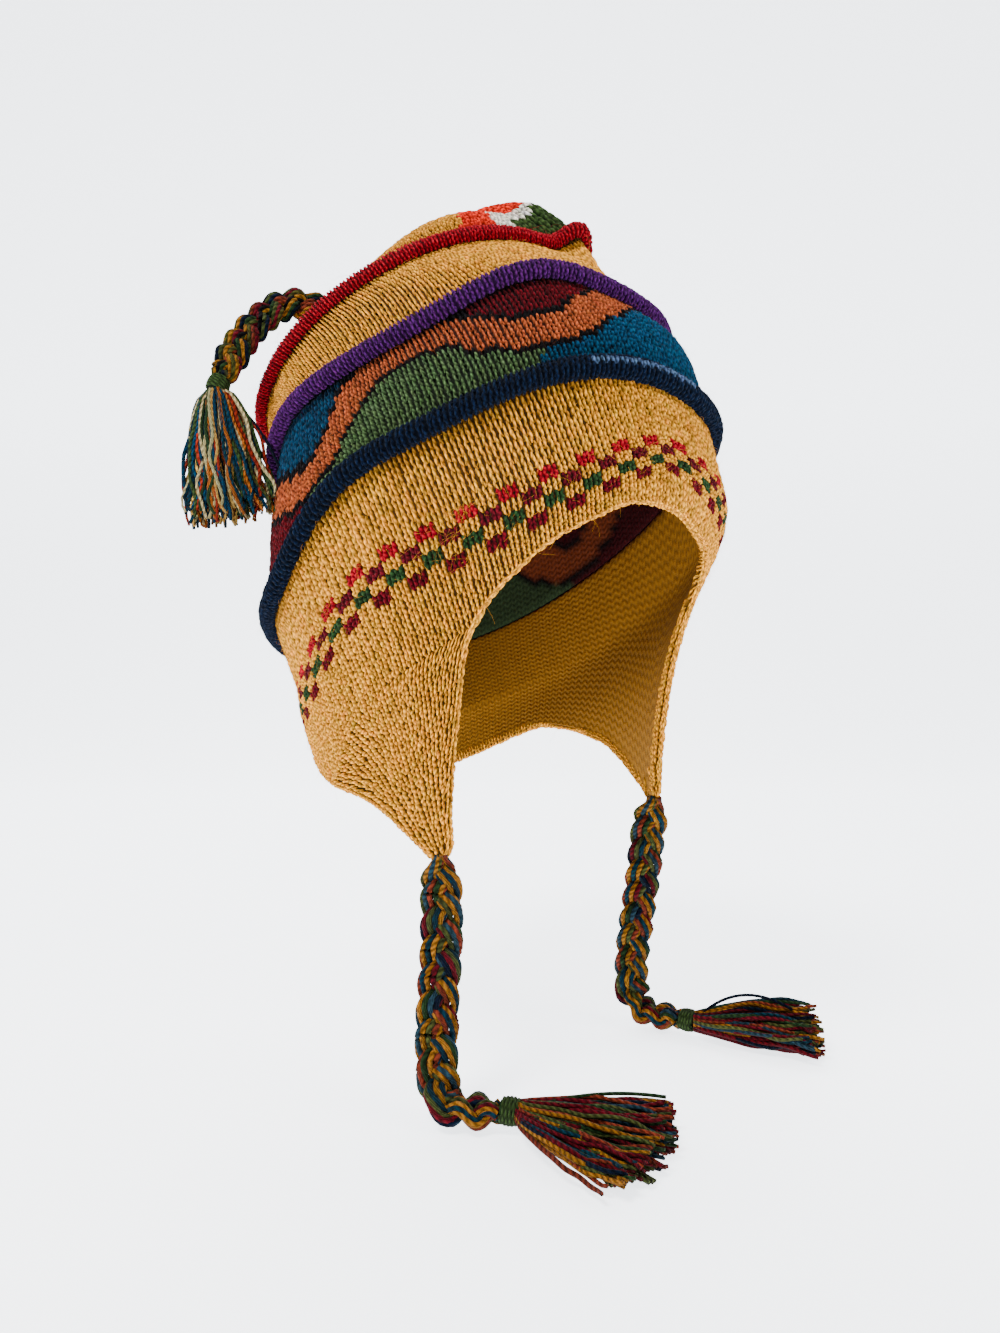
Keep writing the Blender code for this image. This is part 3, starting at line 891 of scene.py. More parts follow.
class Shader:
    """A material's node tree."""

    def __init__(self, name):
        self.material = bpy.data.materials.new(name)
        self.material.use_nodes = True
        self.tree = self.material.node_tree
        self.surface = self.tree.nodes["Principled BSDF"]

    def node(self, kind, settings, values):
        made = self.tree.nodes.new(kind)
        for setting, value in settings.items():
            setattr(made, setting, value)
        for key, value in values.items():
            self.feed(made.inputs[key], value)
        return [Socket(self, output) for output in made.outputs if output.enabled]

    def feed(self, target, value):
        if isinstance(value, Socket):
            self.tree.links.new(value.socket, target)
        else:
            target.default_value = value

    def mix(self, factor, first, second, blend="MIX"):
        settings = {"data_type": "RGBA", "blend_type": blend, "clamp_factor": True}
        return self.node("ShaderNodeMix", settings, {0: factor, 6: first, 7: second})[0]

    def noise(self, place, scale, detail, roughness):
        settings = {"noise_dimensions": "3D"}
        values = {"Vector": place, "Scale": scale, "Detail": detail, "Roughness": roughness}
        return self.node("ShaderNodeTexNoise", settings, values)[0]

    def times(self, colour, factor):
        return self.mix(1.0, colour, (factor, factor, factor, 1), "MULTIPLY")

    def set(self, **values):
        for key, value in values.items():
            self.feed(self.surface.inputs[key.replace("_", " ")], value)


def wool(name, twist=2.0, gloom=0.30, lift=1.85, bump=0.7, grain=2200.0, ply_share=0.75):
    """Plied, hairy wool, with painted highlight on the plies and painted shade between them. The colour
    comes from the mesh, and the twist follows its strand map.
    """
    shader = Shader(name)
    # The mesh colour: the dye, with the painted shade and highlight that the stitches carry
    dye = shader.node("ShaderNodeAttribute", {"attribute_name": "dye"}, {})[0]
    strand = shader.node("ShaderNodeUVMap", {"uv_map": "strand"}, {})[0]
    parts = shader.node("ShaderNodeSeparateXYZ", {}, {0: strand})
    across, along = parts[0], parts[1]
    place = shader.node("ShaderNodeTexCoord", {}, {})[3]
    hairs = shader.noise(place, grain, 2.0, 0.6)
    patches = shader.noise(place, 160.0, 3.0, 0.6)
    # Painted highlight on the plies and painted shade between them: a dark copy of the colour (gloom) and
    # a bright one (lift), mixed by the ply twist, with random fibre grain and mottling
    ply = ((along * twist + across) * (2 * math.pi)).sine() * 0.5 + 0.5
    light = (ply * ply_share + hairs * 0.80 + patches * 0.30) - 0.35
    shader.set(
        Base_Color=shader.mix(light, shader.times(dye, gloom), shader.times(dye, lift)),
        Roughness=0.92,
        Metallic=0.0,
        Sheen_Weight=0.02,
        Sheen_Roughness=0.5,
        Specular_IOR_Level=0.05,
    )
    relief = ply * 0.6 + hairs * 0.7
    normal = shader.node(
        "ShaderNodeBump", {}, {"Height": relief, "Strength": bump, "Distance": 0.0005}
    )[0]
    shader.set(Normal=normal)
    return shader.material


def purl_wool(name, gloom=0.38):
    """The wrong side of the knitting, as rows of small bumps, with painted highlight on the bumps and
    painted shade between them.
    """
    shader = Shader(name)
    dye = shader.node("ShaderNodeAttribute", {"attribute_name": "dye"}, {})[0]
    place = shader.node("ShaderNodeTexCoord", {}, {})[3]
    stitch = shader.node("ShaderNodeUVMap", {"uv_map": "strand"}, {})[0]
    parts = shader.node("ShaderNodeSeparateXYZ", {}, {0: stitch})
    wale = (parts[0] * (2 * math.pi)).sine()
    bowed = parts[1] + wale * 0.22
    bumps = (bowed * (2 * math.pi)).sine() * 0.5 + 0.5
    gaps = (parts[0] * (4 * math.pi)).sine() * 0.5 + 0.5
    hairs = shader.noise(place, 1500.0, 3.0, 0.6)
    light = bumps * 0.4 + gaps * 0.22 + hairs * 0.5
    # Painted shade and highlight: a dark and a bright copy of the colour, mixed by the bumps, the gaps
    # between wales and fibre grain
    dark, bright = shader.times(dye, gloom * 0.5), shader.times(dye, gloom * 1.6)
    normal = shader.node(
        "ShaderNodeBump", {}, {"Height": light, "Strength": 0.8, "Distance": 0.0008}
    )[0]
    shader.set(
        Base_Color=shader.mix(light, dark, bright),
        Roughness=0.95,
        Metallic=0.0,
        Specular_IOR_Level=0.15,
        Normal=normal,
    )
    return shader.material


def pale_paint(name, colour):
    shader = Shader(name)
    place = shader.node("ShaderNodeTexCoord", {}, {})[3]
    clouds = shader.noise(place, 3.0, 2.0, 0.5)
    shade = [part * 0.985 for part in colour]
    shader.set(
        Base_Color=shader.mix(clouds, (*colour, 1), (*shade, 1)),
        Roughness=0.7,
        Metallic=0.0,
        Emission_Color=(0.9, 0.94, 1.0, 1),
        Emission_Strength=2.8,
    )
    return shader.material


# Camera, light and floor

CAMERA_TURN = math.radians(-45)
CAMERA_DISTANCE = 0.39
CAMERA_HEIGHT = -0.0259
CAMERA_PITCH = math.radians(-1.2)
CAMERA_YAW = math.radians(-0.08)
SENSOR_HEIGHT = 24
FLOOR_NEAR = -1.5
FLOOR_BEND = 0.9
FLOOR_BEND_RADIUS = 0.7
WALL_TOP = 3.0
FLOOR_HALF_WIDTH = 3.0

LIGHT_COLUMNS = ("name", "place", "target", "size", "watts", "colour")
LIGHTS = (
    ("key_light", (-0.75, -0.05, 1.05), (0, 0, 0.02), 0.45, 24, (1, 1, 1)),
    ("front_light", (0.35, -1.1, 0.65), (0, 0, 0), 0.8, 10, (1.0, 0.98, 0.95)),
    ("back_light", (0.5, 0.9, 0.9), (0, 0, 0), 0.8, 8, (1, 1, 1)),
)


def add_camera():
    data = bpy.data.cameras.new("photo_camera")
    camera = bpy.data.objects.new("photo_camera", data)
    bpy.context.scene.collection.objects.link(camera)
    turn = CAMERA_TURN + CAMERA_YAW
    forward = Vector(
        (
            -math.sin(turn) * math.cos(CAMERA_PITCH),
            math.cos(turn) * math.cos(CAMERA_PITCH),
            -math.sin(CAMERA_PITCH),
        )
    )
    right = Vector((math.cos(turn), math.sin(turn), 0))
    up = right.cross(forward)
    place = Vector(
        (
            CAMERA_DISTANCE * math.sin(CAMERA_TURN),
            -CAMERA_DISTANCE * math.cos(CAMERA_TURN),
            CAMERA_HEIGHT,
        )
    )
    facing = Matrix((right, up, -forward)).transposed()
    camera.matrix_world = Matrix.Translation(place) @ facing.to_4x4()
    data.sensor_fit = "VERTICAL"
    data.sensor_height = SENSOR_HEIGHT
    data.lens = SENSOR_HEIGHT * 1000 / 1333
    data.clip_start = 0.01
    data.clip_end = 20
    bpy.context.scene.camera = camera


def add_light(name, place, target, size, watts, colour):
    data = bpy.data.lights.new(name, "AREA")
    data.shape = "DISK"
    data.size = size
    data.energy = watts
    data.color = colour
    light = bpy.data.objects.new(name, data)
    bpy.context.scene.collection.objects.link(light)
    light.location = place
    light.rotation_euler = (Vector(target) - Vector(place)).to_track_quat("-Z", "Y").to_euler()


def add_studio():
    """A pale floor that curves up to a pale wall behind the hat, and soft lights."""
    away = Vector((-math.sin(CAMERA_TURN), math.cos(CAMERA_TURN), 0))
    side = Vector((away.y, -away.x, 0))
    profile = [(FLOOR_NEAR, 0.0), (FLOOR_BEND, 0.0)]
    for part in range(1, 13):
        swing = math.radians(90 * part / 12)
        run = FLOOR_BEND + FLOOR_BEND_RADIUS * math.sin(swing)
        profile.append((run, FLOOR_BEND_RADIUS * (1 - math.cos(swing))))
    profile.append((FLOOR_BEND + FLOOR_BEND_RADIUS, WALL_TOP))
    points, faces = [], []
    for run, height in profile:
        for way in (-FLOOR_HALF_WIDTH, FLOOR_HALF_WIDTH):
            points.append(away * run + side * way + Vector((0, 0, height - TABLE_DROP)))
    for index in range(len(profile) - 1):
        low = index * 2
        faces.append((low, low + 1, low + 3, low + 2))
    floor = finish_mesh(
        "studio_floor",
        np.array(points),
        np.array(faces),
        [pale_paint("floor_paint", (0.90, 0.91, 0.92))],
    )
    world = bpy.data.worlds.new("studio")
    world.use_nodes = True
    world.node_tree.nodes["Background"].inputs[0].default_value = (0.93, 0.96, 1.0, 1)
    world.node_tree.nodes["Background"].inputs[1].default_value = 0.5
    bpy.context.scene.world = world
    for light in table(LIGHT_COLUMNS, LIGHTS):
        add_light(**light)


# Cords: braids with their whippings and tassels

BRAID_ROOT = 0.0025
BRAID_HAIRS = 320
CROWN_BRAID_FULLNESS = 1.10
WRAP_HAIRS = 60
LYING_HEIGHT = 0.022
LYING_SINK = 0.0006
BRAID_STEP = 0.0010
LOBE_RUN = 0.0262
STRAND_REACH = 0.0035
STRAND_WIDTH = 0.00285
STRAND_HEIGHT = 0.00150
STRAND_LIFT = 0.0021
STRAND_TURN = 0.060
BRAID_YARN = 0.00094
WRAP_TURNS = 5
WRAP_YARN = 0.00055
WRAP_ROWS = 130
EAR_PLAITS = (
    ("ochre", "dusty_blue", "ochre", "moss", "rust", "ochre", "teal_navy", "ochre", "moss"),
    ("teal_navy", "ochre", "dark_green", "dusty_blue", "navy", "wine", "moss", "teal_navy", "ochre"),
    ("rust", "teal_navy", "ochre", "wine", "moss", "dusty_blue", "rust", "dark_green", "ochre"),
)
CROWN_PLAITS = (
    ("rust", "ochre", "olive", "ochre", "wine", "near_black", "moss", "navy", "rust"),
    ("near_black", "dark_green", "ochre", "navy", "dark_green", "moss", "wine", "olive", "ochre"),
    ("ochre", "olive", "rust", "wine", "near_black", "ochre", "dark_green", "navy", "moss"),
)
TASSEL_STRANDS = 190
TASSEL_ROWS = 17
TASSEL_YARN = 0.00076
TASSEL_DYES = (
    "wine", "ochre", "teal_navy", "moss", "dark_red", "dusty_blue", "dark_green",
    "rust", "wine", "navy", "ochre", "dark_red", "moss", "rust",
)
CROWN_TASSEL_DYES = (
    "teal", "cream", "dark_green", "amber", "teal_navy", "moss", "brick", "pale_gold",
    "teal", "amber", "wrap_green", "cream", "brick", "teal_navy", "pale_gold",
)
CROWN_TASSEL_EXTRA = 0.0042


def frames(path, outward):
    """(way, across, out) along a path, with out as near as may be to a chosen direction."""
    way = unit(np.gradient(path, axis=0))
    across = unit(np.cross(way, unit(np.asarray(outward, float))))
    return way, across, np.cross(across, way)


def braid(name, route, radius, fullness, outward, plaits, finish, rng):
    """A flat braid of three strands, each a loose bundle of yarns."""
    first, second = (np.array(point) for point in route[:2])
    start = first + unit(first - second) * BRAID_ROOT
    path = smooth_route((tuple(start), *route), BRAID_STEP)
    lying = smooth_step((LYING_HEIGHT - TABLE_DROP - path[:, 2]) / (LYING_HEIGHT - radius))
    path[:, 2] -= LYING_SINK * lying
    outward = np.asarray(outward, float) * (1 - lying[:, None]) + lying[:, None] * [0, 0, 1.0]
    way, across, out = frames(path, outward)
    run = np.concatenate([[0], np.cumsum(np.linalg.norm(np.diff(path, axis=0), axis=1))])
    lobe_run = LOBE_RUN * radius / EAR_BRAID_RADIUS
    scale = fullness * radius / EAR_BRAID_RADIUS
    opened = 0.30 + 0.70 * smooth_step(run / 0.009)
    closed = 0.62 + 0.38 * smooth_step((run[-1] - run) / 0.007)
    settle = opened * closed
    reach = STRAND_REACH * scale * settle
    thickness = BRAID_YARN * scale
    routes, colours = [], []
    for strand, dyes in enumerate(plaits):
        phase = 2 * math.pi * (run / lobe_run + strand / len(plaits))
        side = reach * (np.sin(phase) + 0.07 * np.sin(3 * phase))
        lift = STRAND_LIFT * scale * np.sin(2 * phase)
        lean = np.cos(phase)
        for index, dye in enumerate(dyes):
            swing = 2 * math.pi * (index / len(dyes) + run / (STRAND_TURN * scale)) + strand
            loose = 1 + 0.07 * math.sin(1.7 * index + strand)
            wide = STRAND_WIDTH * scale * settle * np.cos(swing) * (1 + 0.04 * np.abs(lean)) * loose
            tall = STRAND_HEIGHT * scale * (0.4 + 0.6 * settle) * np.sin(swing) * loose
            offset = across * (side + wide)[:, None] + out * (lift + tall)[:, None]
            strand_path = path + offset
            strand_path[:, 2] = np.maximum(strand_path[:, 2], thickness - TABLE_DROP)
            routes.append(strand_path)
            colours.append(DYE_COLOURS[DYE_INDEX[dye]])
    colours = shade_of(np.array(colours), rng, 0.14)
    made = yarns(name, routes, thickness, colours, finish, "mixed_wool", 6, 0.0030, rng, BRAID_HAIRS)
    return made, path


def whipping(name, start, axis, finish, rng):
    """Yarn wound round the end of a braid."""
    axis = np.asarray(axis, float)
    helper = np.array([0, 0, 1.0]) if abs(axis[2]) < 0.9 else np.array([1.0, 0, 0])
    across = unit(np.cross(axis, helper))
    upward = np.cross(axis, across)
    share = np.linspace(0, 1, WRAP_ROWS)
    swing = 2 * math.pi * WRAP_TURNS * share
    bulge = WHIPPING_RADIUS - WRAP_YARN - 0.0005 * (2 * share - 1) ** 2
    along = WRAP_YARN + (WHIPPING_LENGTH - 2 * WRAP_YARN) * share
    winding = across * np.cos(swing)[:, None] + upward * np.sin(swing)[:, None]
    route = np.asarray(start) + axis * along[:, None] + winding * bulge[:, None]
    core = np.asarray(start) + axis * (0.0004 + (WHIPPING_LENGTH - 0.0008) * share)[:, None]
    radii = np.outer((WRAP_YARN, WHIPPING_RADIUS - 2 * WRAP_YARN), np.ones(WRAP_ROWS))
    colours = DYE_COLOURS[[DYE_INDEX["wrap_green"], DYE_INDEX["dark_green"]]]
    return yarns(
        name, np.stack([route, core]), radii, colours, finish, "green_wool", 8, 0.0024, rng, WRAP_HAIRS
    )


def tassel(name, head, axis, fan, angles, pile, dyes, finish, rng, floor=None, loose=()):
    """Cut strands that fan out from the whipping, between two angles, with a few stray ones."""
    head, axis, fan = (np.asarray(value, float) for value in (head, axis, fan))
    depth_way = unit(np.cross(axis, fan))
    radius = TASSEL_YARN
    share = np.linspace(0, 1, TASSEL_ROWS)
    length = TASSEL_LENGTH + WRAP_LENGTH - WHIPPING_LENGTH
    if floor is None:
        length += CROWN_TASSEL_EXTRA
    root = WHIPPING_RADIUS - 0.0012
    early = 0.50 if floor is None else 0.62
    routes, radii, colours = [], [], []
    deal = rng.permutation(TASSEL_STRANDS) % len(dyes)
    for strand in range(TASSEL_STRANDS):
        side = rng.uniform(-1, 1)
        layer = rng.uniform(-1, 1) * math.sqrt(max(1 - side**2, 0.05))
        reach = length * rng.uniform(0.88, 1.03)
        angle = math.radians(np.interp(side, (-1, 1), angles) + rng.normal(0, 3))
        slow, quick = rng.uniform(0, 2 * math.pi, 2)
        wave = 0.0020 * np.sin(share * math.pi * rng.uniform(1.5, 4.0) + slow)
        wave = (wave + 0.0005 * np.sin(share * 22 + quick)) * share
        forward = reach * (share - (1 - math.cos(angle)) * share**1.5)
        sideways = side * root + reach * math.sin(angle) * share**early + wave
        point = head + axis * forward[:, None] + fan * sideways[:, None]
        if floor is None:
            belly = layer * root * (1 + pile * np.sin(math.pi * np.minimum(share, 0.62)))
            point = point + depth_way * belly[:, None]
        else:
            rest = floor + radius + pile * ((layer + 1) / 2) ** 1.2 * (1 - 0.25 * share)
            start_height = head[2] + layer * root
            point[:, 2] = start_height + (rest - start_height) * smooth_step(share * 1.7)
            point[:, 2] += 0.0010 * np.sin(slow + 9 * share) * share
            point[:, 2] = np.maximum(point[:, 2], floor + radius)
        routes.append(point)
        radii.append(radius * (1 - 0.25 * share**6) * rng.uniform(0.8, 1.15))
        colours.append(DYE_COLOURS[DYE_INDEX[dyes[deal[strand]]]])
    for dye, bend, last in loose:
        bend, last = (head + axis * at[0] + fan * at[1] + np.array([0, 0, at[2]]) for at in (bend, last))
        curve = np.outer((1 - share) ** 2, head) + np.outer(2 * share * (1 - share), bend)
        routes.append(curve + np.outer(share**2, last))
        radii.append(np.full(TASSEL_ROWS, radius * 0.8))
        colours.append(DYE_COLOURS[DYE_INDEX[dye]])
    colours = shade_of(np.array(colours), rng, 0.18)
    return yarns(
        name, np.stack(routes), np.stack(radii), colours, finish, "mixed_wool", 5, 0.0024, rng, BRAID_HAIRS
    )


def tie(side, route, radius, towards, angles, pile, outward, plaits, finishes, rng, floor=None, loose=()):
    """A braid with its whipping and tassel."""
    braid_wool, wrap_wool, tassel_wool = finishes
    fullness = CROWN_BRAID_FULLNESS if floor is None else 1
    plait, path = braid(
        f"{side}_braid_yarns", route, radius, fullness, outward, plaits, braid_wool, rng
    )
    coarse = smooth_route(route, radius * 2)
    axis = unit(coarse[-1] - coarse[-2])
    start = coarse[-1] + axis * GAP
    wrap = whipping(f"{side}_wrap_yarn", start, axis, wrap_wool, rng)
    direction = unit(np.asarray(towards, float))
    helper = (1, 1, 0) if floor is None else (0, 0, 1)
    fan = unit(np.cross(direction, np.asarray(helper, float)))
    head = start + axis * (WHIPPING_LENGTH - 0.0008)
    ends = tassel(
        f"{side}_tassel_strands", head, direction, fan, angles, pile,
        CROWN_TASSEL_DYES if floor is None else TASSEL_DYES, tassel_wool, rng, floor, loose,
    )
    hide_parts(f"{side}_braid")
    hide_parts(f"{side}_wrap")
    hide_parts(f"{side}_tassel")
    [tuple(point) for point in path[::3]] + [tuple(path[-1])]


# Charts: which dye each stitch is knitted in


def ribbon_middle(angle):
    """The middle of the wave ribbon, in courses above the navy welt."""
    return along_rows(WAVE_ROWS, "angle", "height", turned(angle)) * WAVE_COURSES


def check_depth(turn):
    return straight_rows(CHECK_ROWS, "angle", "depth", turned(turn))


def lower_chart(wale, course):
    dyes = np.full(len(wale), DYE_INDEX["gold"])
    for patch in CHECK_PATCH_ROWS:
        stitch = (wale - patch["first_stitch"]) % CHECK_REPEAT
        row = course - PLAIN_ABOVE_CHECK - patch["first_course"]
        hit = (stitch < patch["stitches"]) & (row >= 0) & (row < patch["courses"])
        dyes[hit] = DYE_INDEX[patch["dye"]]
    return dyes


def plain_gold(angle, course):
    return np.full(len(angle), DYE_INDEX["gold"])


def field_at(fields, angle):
    starts = np.array([start for start, _ in fields])
    index = (np.searchsorted(starts, turned(angle), side="right") - 1) % len(fields)
    return np.array([DYE_INDEX[dye] for _, dye in fields])[index]


def wave_chart(angle, course):
    slope = np.abs(ribbon_middle(angle + 1.2) - ribbon_middle(angle - 1.2)) * COURSE / WALE
    half = RIBBON_HALF_COURSES * np.minimum(np.sqrt(1 + (1.3 * slope) ** 2), 2.3)
    half = half * straight_rows(RIBBON_ROWS, "angle", "share", turned(angle))
    off = course + 0.5 - ribbon_middle(angle)
    dyes = np.where(off > 0, field_at(UPPER_FIELDS, angle), field_at(LOWER_FIELDS, angle))
    dyes[np.abs(off) < half + 1.0] = DYE_INDEX["near_black"]
    dyes[np.abs(off) < half] = DYE_INDEX["orange"]
    return dyes


def top_chart(angle, reach):
    dyes = np.full(len(angle), DYE_INDEX["gold"])
    for start in TOP_TURNS:
        from_start = turned(angle - TOP_LEAN * reach - start)
        for dye, first, last, low, high in TOP_PATCHES:
            across = (from_start >= first) & (from_start < last)
            dyes[across & (reach >= low) & (reach < high)] = DYE_INDEX[dye]
    return dyes


# Knitting each piece


def wale_angle(wale):
    return 360 * wale / WALES - 180 + FACE_TURN


def band_rim(turn):
    """How deep the plain round of the lower band goes: the edge, or the flaps' upper line."""
    from_face = turned(turn - FACE_TURN)
    away = np.abs(from_face)
    depth = np.empty_like(away)
    for side in (-1, 1):
        start = np.linspace(0, 180, EDGE_POINTS)
        ends, depths = edge_of(start, side)
        ends = np.abs(turned(ends - FACE_TURN))
        ends[-1] = 180
        plain = (start <= FLAP_FRONT_START) | (start >= FLAP_BACK_START)
        here = from_face * side >= 0
        depth[here] = np.interp(away[here], ends[plain], depths[plain])
    return depth


def band_down(turn, course, below):
    """How deep a course lies, with below plain courses between the check and the rim."""
    middle = check_depth(turn)
    step = middle * CHECK_SHARE
    top = middle - step
    foot = top + CHECK_COURSES * step
    rim = band_rim(turn)
    after = PLAIN_ABOVE_CHECK + CHECK_COURSES
    return np.where(
        course < PLAIN_ABOVE_CHECK,
        top * course / PLAIN_ABOVE_CHECK,
        np.where(
            course < after,
            top + (course - PLAIN_ABOVE_CHECK) * step,
            foot + (course - after) * (rim - foot) / below,
        ),
    )


def knit_band(finish, rng):
    """The plain round of the lower band, down to its rim and the upper line of the flaps."""
    wales = np.arange(WALES)
    angle = wale_angle(wales + 0.5)
    reached = angle + LEAN * 0.05
    for _ in range(6):
        reached = angle + LEAN * band_rim(reached)
    middle = check_depth(reached)
    foot = middle * (1 + (CHECK_COURSES - 1) * CHECK_SHARE)
    below = np.maximum(np.round((band_rim(reached) - foot) / COURSE), 2)
    from_face = np.abs(turned(reached - FACE_TURN))
    in_flap = (from_face > FLAP_TURNS[0]) & (from_face < FLAP_TURNS[1])
    wale, course, under = [], [], []
    for index in wales:
        extra = 0 if in_flap[index] else 2
        count = int(PLAIN_ABOVE_CHECK + CHECK_COURSES + below[index] + extra)
        wale.append(np.full(count, index))
        course.append(np.arange(count))
        under.append(np.full(count, below[index]))
    wale, course, under = (np.concatenate(rows) for rows in (wale, course, under))
    dyes = lower_chart(wale, course)

    def place_for(chosen):
        def place(which, across, up, height):
            picked = chosen[which]
            v = course[picked] + 1 - up
            turn = wale_angle(wale[picked] + 0.5 + across)
            down = band_down(turn, np.maximum(v, 0), under[picked])
            down = band_down(turn + LEAN * down, np.maximum(v, 0), under[picked])
            return knitted_face(turn + LEAN * down, down, height)

        return place

    half = wale < WALES // 2
    for name, part in (("right", half), ("left", ~half)):
        chosen = np.flatnonzero(part)
        lay_stitches(
            f"lower_band_stitches_{name}",
            place_for(chosen),
            dyes[chosen],
            finish,
            "gold_wool",
            "lower_band",
            rng,
            full=np.where(dyes[chosen] == DYE_INDEX["gold"], 1, CHECK_FULLNESS),
            shadow=np.interp(course[chosen], (0, 1, 2), WELT_SHADOW),
        )


def knit_flap(side, finish, rng):
    """One ear flap below the plain round, its rows getting narrower to the tip."""
    start = np.linspace(FLAP_FRONT_START, FLAP_BACK_START, 433)
    turns, depths = edge_of(start, side)
    tip = int(np.argmax(depths))
    front_turn, front_depth = turns[: tip + 1], depths[: tip + 1]
    back_turn, back_depth = turns[tip:][::-1], depths[tip:][::-1]

    def row_line(share):
        share = np.clip(share, 0, 1)
        front_at = front_depth[0] + (front_depth[-1] - front_depth[0]) * share
        back_at = back_depth[0] + (back_depth[-1] - back_depth[0]) * share
        return (
            np.interp(front_at, front_depth, front_turn),
            front_at,
            np.interp(back_at, back_depth, back_turn),
            back_at,
        )

    rows = FLAP_LEAN_ROWS
    wale, course, sides = [], [], []
    for row in range(rows + 1):
        front, _, back, _ = row_line(np.array([(row + 0.5) / rows]))
        run = np.interp([front[0], back[0]], RUN_ANGLES, RUN_METRES)
        shrink = 1 - 0.18 * row / rows
        half = max(int(round(abs(run[1] - run[0]) * shrink / 2 / WALE)), 1)
        found = np.arange(-half - 2, half + 2)
        wale.append(found)
        course.append(np.full(len(found), row))
        sides.append(np.full(len(found), half))
    wale, course, sides = (np.concatenate(part) for part in (wale, course, sides))
    dyes = np.full(len(wale), DYE_INDEX["gold"])

    def place(which, across, up, height):
        share = (course[which] + 1 - up) / rows
        front, front_at, back, back_at = row_line(share)
        q = 0.5 + (wale[which] + 0.5 + across) / (2 * sides[which])
        turn = front + q * (back - front)
        width = np.maximum(np.abs(back - front), 4.0)
        spread = 2 * sides[which] * np.degrees(WALE / HALF_LENGTH)
        stretch = np.where((q < 0) | (q > 1), np.maximum(spread / width, 1.0), 1.0)
        beyond = np.where(q < 0, q, np.where(q > 1, q - 1, 0))
        turn = turn + beyond * (back - front) * (stretch - 1)
        down = front_at + np.clip(q, 0, 1) * (back_at - front_at)
        down = down + np.maximum(share - 1, 0) * rows * COURSE
        return knitted_face(turn, down, height)

    name = "right" if side < 0 else "left"
    lay_stitches(
        f"{name}_flap_stitches", place, dyes, finish, "gold_wool", "lower_band", rng
    )


def bind_edge(finish, rng):
    """A chain of stitches along the lower edge, over the ends of the rows."""
    places, inward = FINE_EDGE
    index = np.arange(len(places))
    ends = np.interp([FACE_TURN - 180, FACE_TURN + 180], RUN_ANGLES, RUN_METRES)
    first, last = (int(np.argmin(np.abs(places[:, 0] - end))) for end in ends)
    count = round((last - first) * EDGE_STEP / CHAIN_STITCH)

    def place(which, across, up, height):
        at = first + (which + up) / count * (last - first)
        middle = np.stack([np.interp(at, index, places[:, axis]) for axis in (0, 1)], axis=1)
        inside = np.stack([np.interp(at, index, inward[:, axis]) for axis in (0, 1)], axis=1)
        flat = middle + unit(inside) * (CHAIN_INSET + CHAIN_WIDTH * across)[:, None]
        turn = np.interp(flat[:, 0], RUN_METRES, RUN_ANGLES)
        return knitted_face(turn, flat[:, 1], height + CHAIN_STAND)

    dyes = np.full(count, DYE_INDEX["gold"])
    lay_stitches("lower_band_edge", place, dyes, finish, "gold_wool", "lower_band", rng)


def knit_round(name, surface, step, first, last, courses, lean, chart, finish, slot, node, rng):
    """A band of even courses between two places of a surface."""
    wale = np.tile(np.arange(WALES), courses)
    course = np.repeat(np.arange(courses), WALES)
    angle = wale_angle(wale + 0.5) - lean * (course + 0.5) / courses
    dyes = chart(angle, course)

    def place(which, across, up, height):
        share = (course[which] + up) / courses
        turn = wale_angle(wale[which] + 0.5 + across) - lean * share
        level = first + (last - first) * share
        point, normal, _, _ = face_of(surface, turn, level, step)
        return point + normal * height[:, None]

    shadow = np.interp(courses - 1 - course, (0, 1, 2), WELT_SHADOW)
    return lay_stitches(name, place, dyes, finish, slot, node, rng, shadow=shadow)


def knit_top(finish, rng):
    """The top, with fewer stitches in each course towards the collar."""
    angles = np.linspace(-180, 180, 361)
    wale, course, around = [], [], []
    for row in range(TOP_COURSES):
        reach = (row + 0.5) / TOP_COURSES
        loop = top_surface(angles, np.full(361, reach))
        length = np.linalg.norm(np.diff(loop, axis=0), axis=1).sum()
        count = int(max(round(length / WALE / 8) * 8, 16))
        wale.append(np.arange(count))
        course.append(np.full(count, row))
        around.append(np.full(count, count))
    wale, course, around = (np.concatenate(rows) for rows in (wale, course, around))
    angle = 360 * (wale + 0.5) / around - 180
    dyes = top_chart(angle, (course + 0.5) / TOP_COURSES)

    def place(which, across, up, height):
        reach = (course[which] + up) / TOP_COURSES
        turn = 360 * (wale[which] + 0.5 + across) / around[which] - 180
        reach = np.clip(reach, 0, 0.999)
        point, normal, _, _ = face_of(top_surface, turn, reach, 0.004)
        return point + normal * height[:, None]

    return lay_stitches(
        "crown_top_stitches", place, dyes, finish, "gold_wool", "crown_top", rng, shadow=TOP_PAINTED_SHADE
    )


def welt_line(ring, angle):
    """(middle, outward normal, upward way) of a welt's roll."""
    level = RING_INDEX[ring]
    inside = level - 0.02 if level == len(RING_ROWS) - 1 else level
    places = np.full_like(angle, inside)
    _, normal, _, down_it = face_of(upper_surface, angle, places, 0.01)
    point = upper_surface(angle, np.full_like(angle, level))
    return point + normal * WELT_OUTSET, normal, -down_it


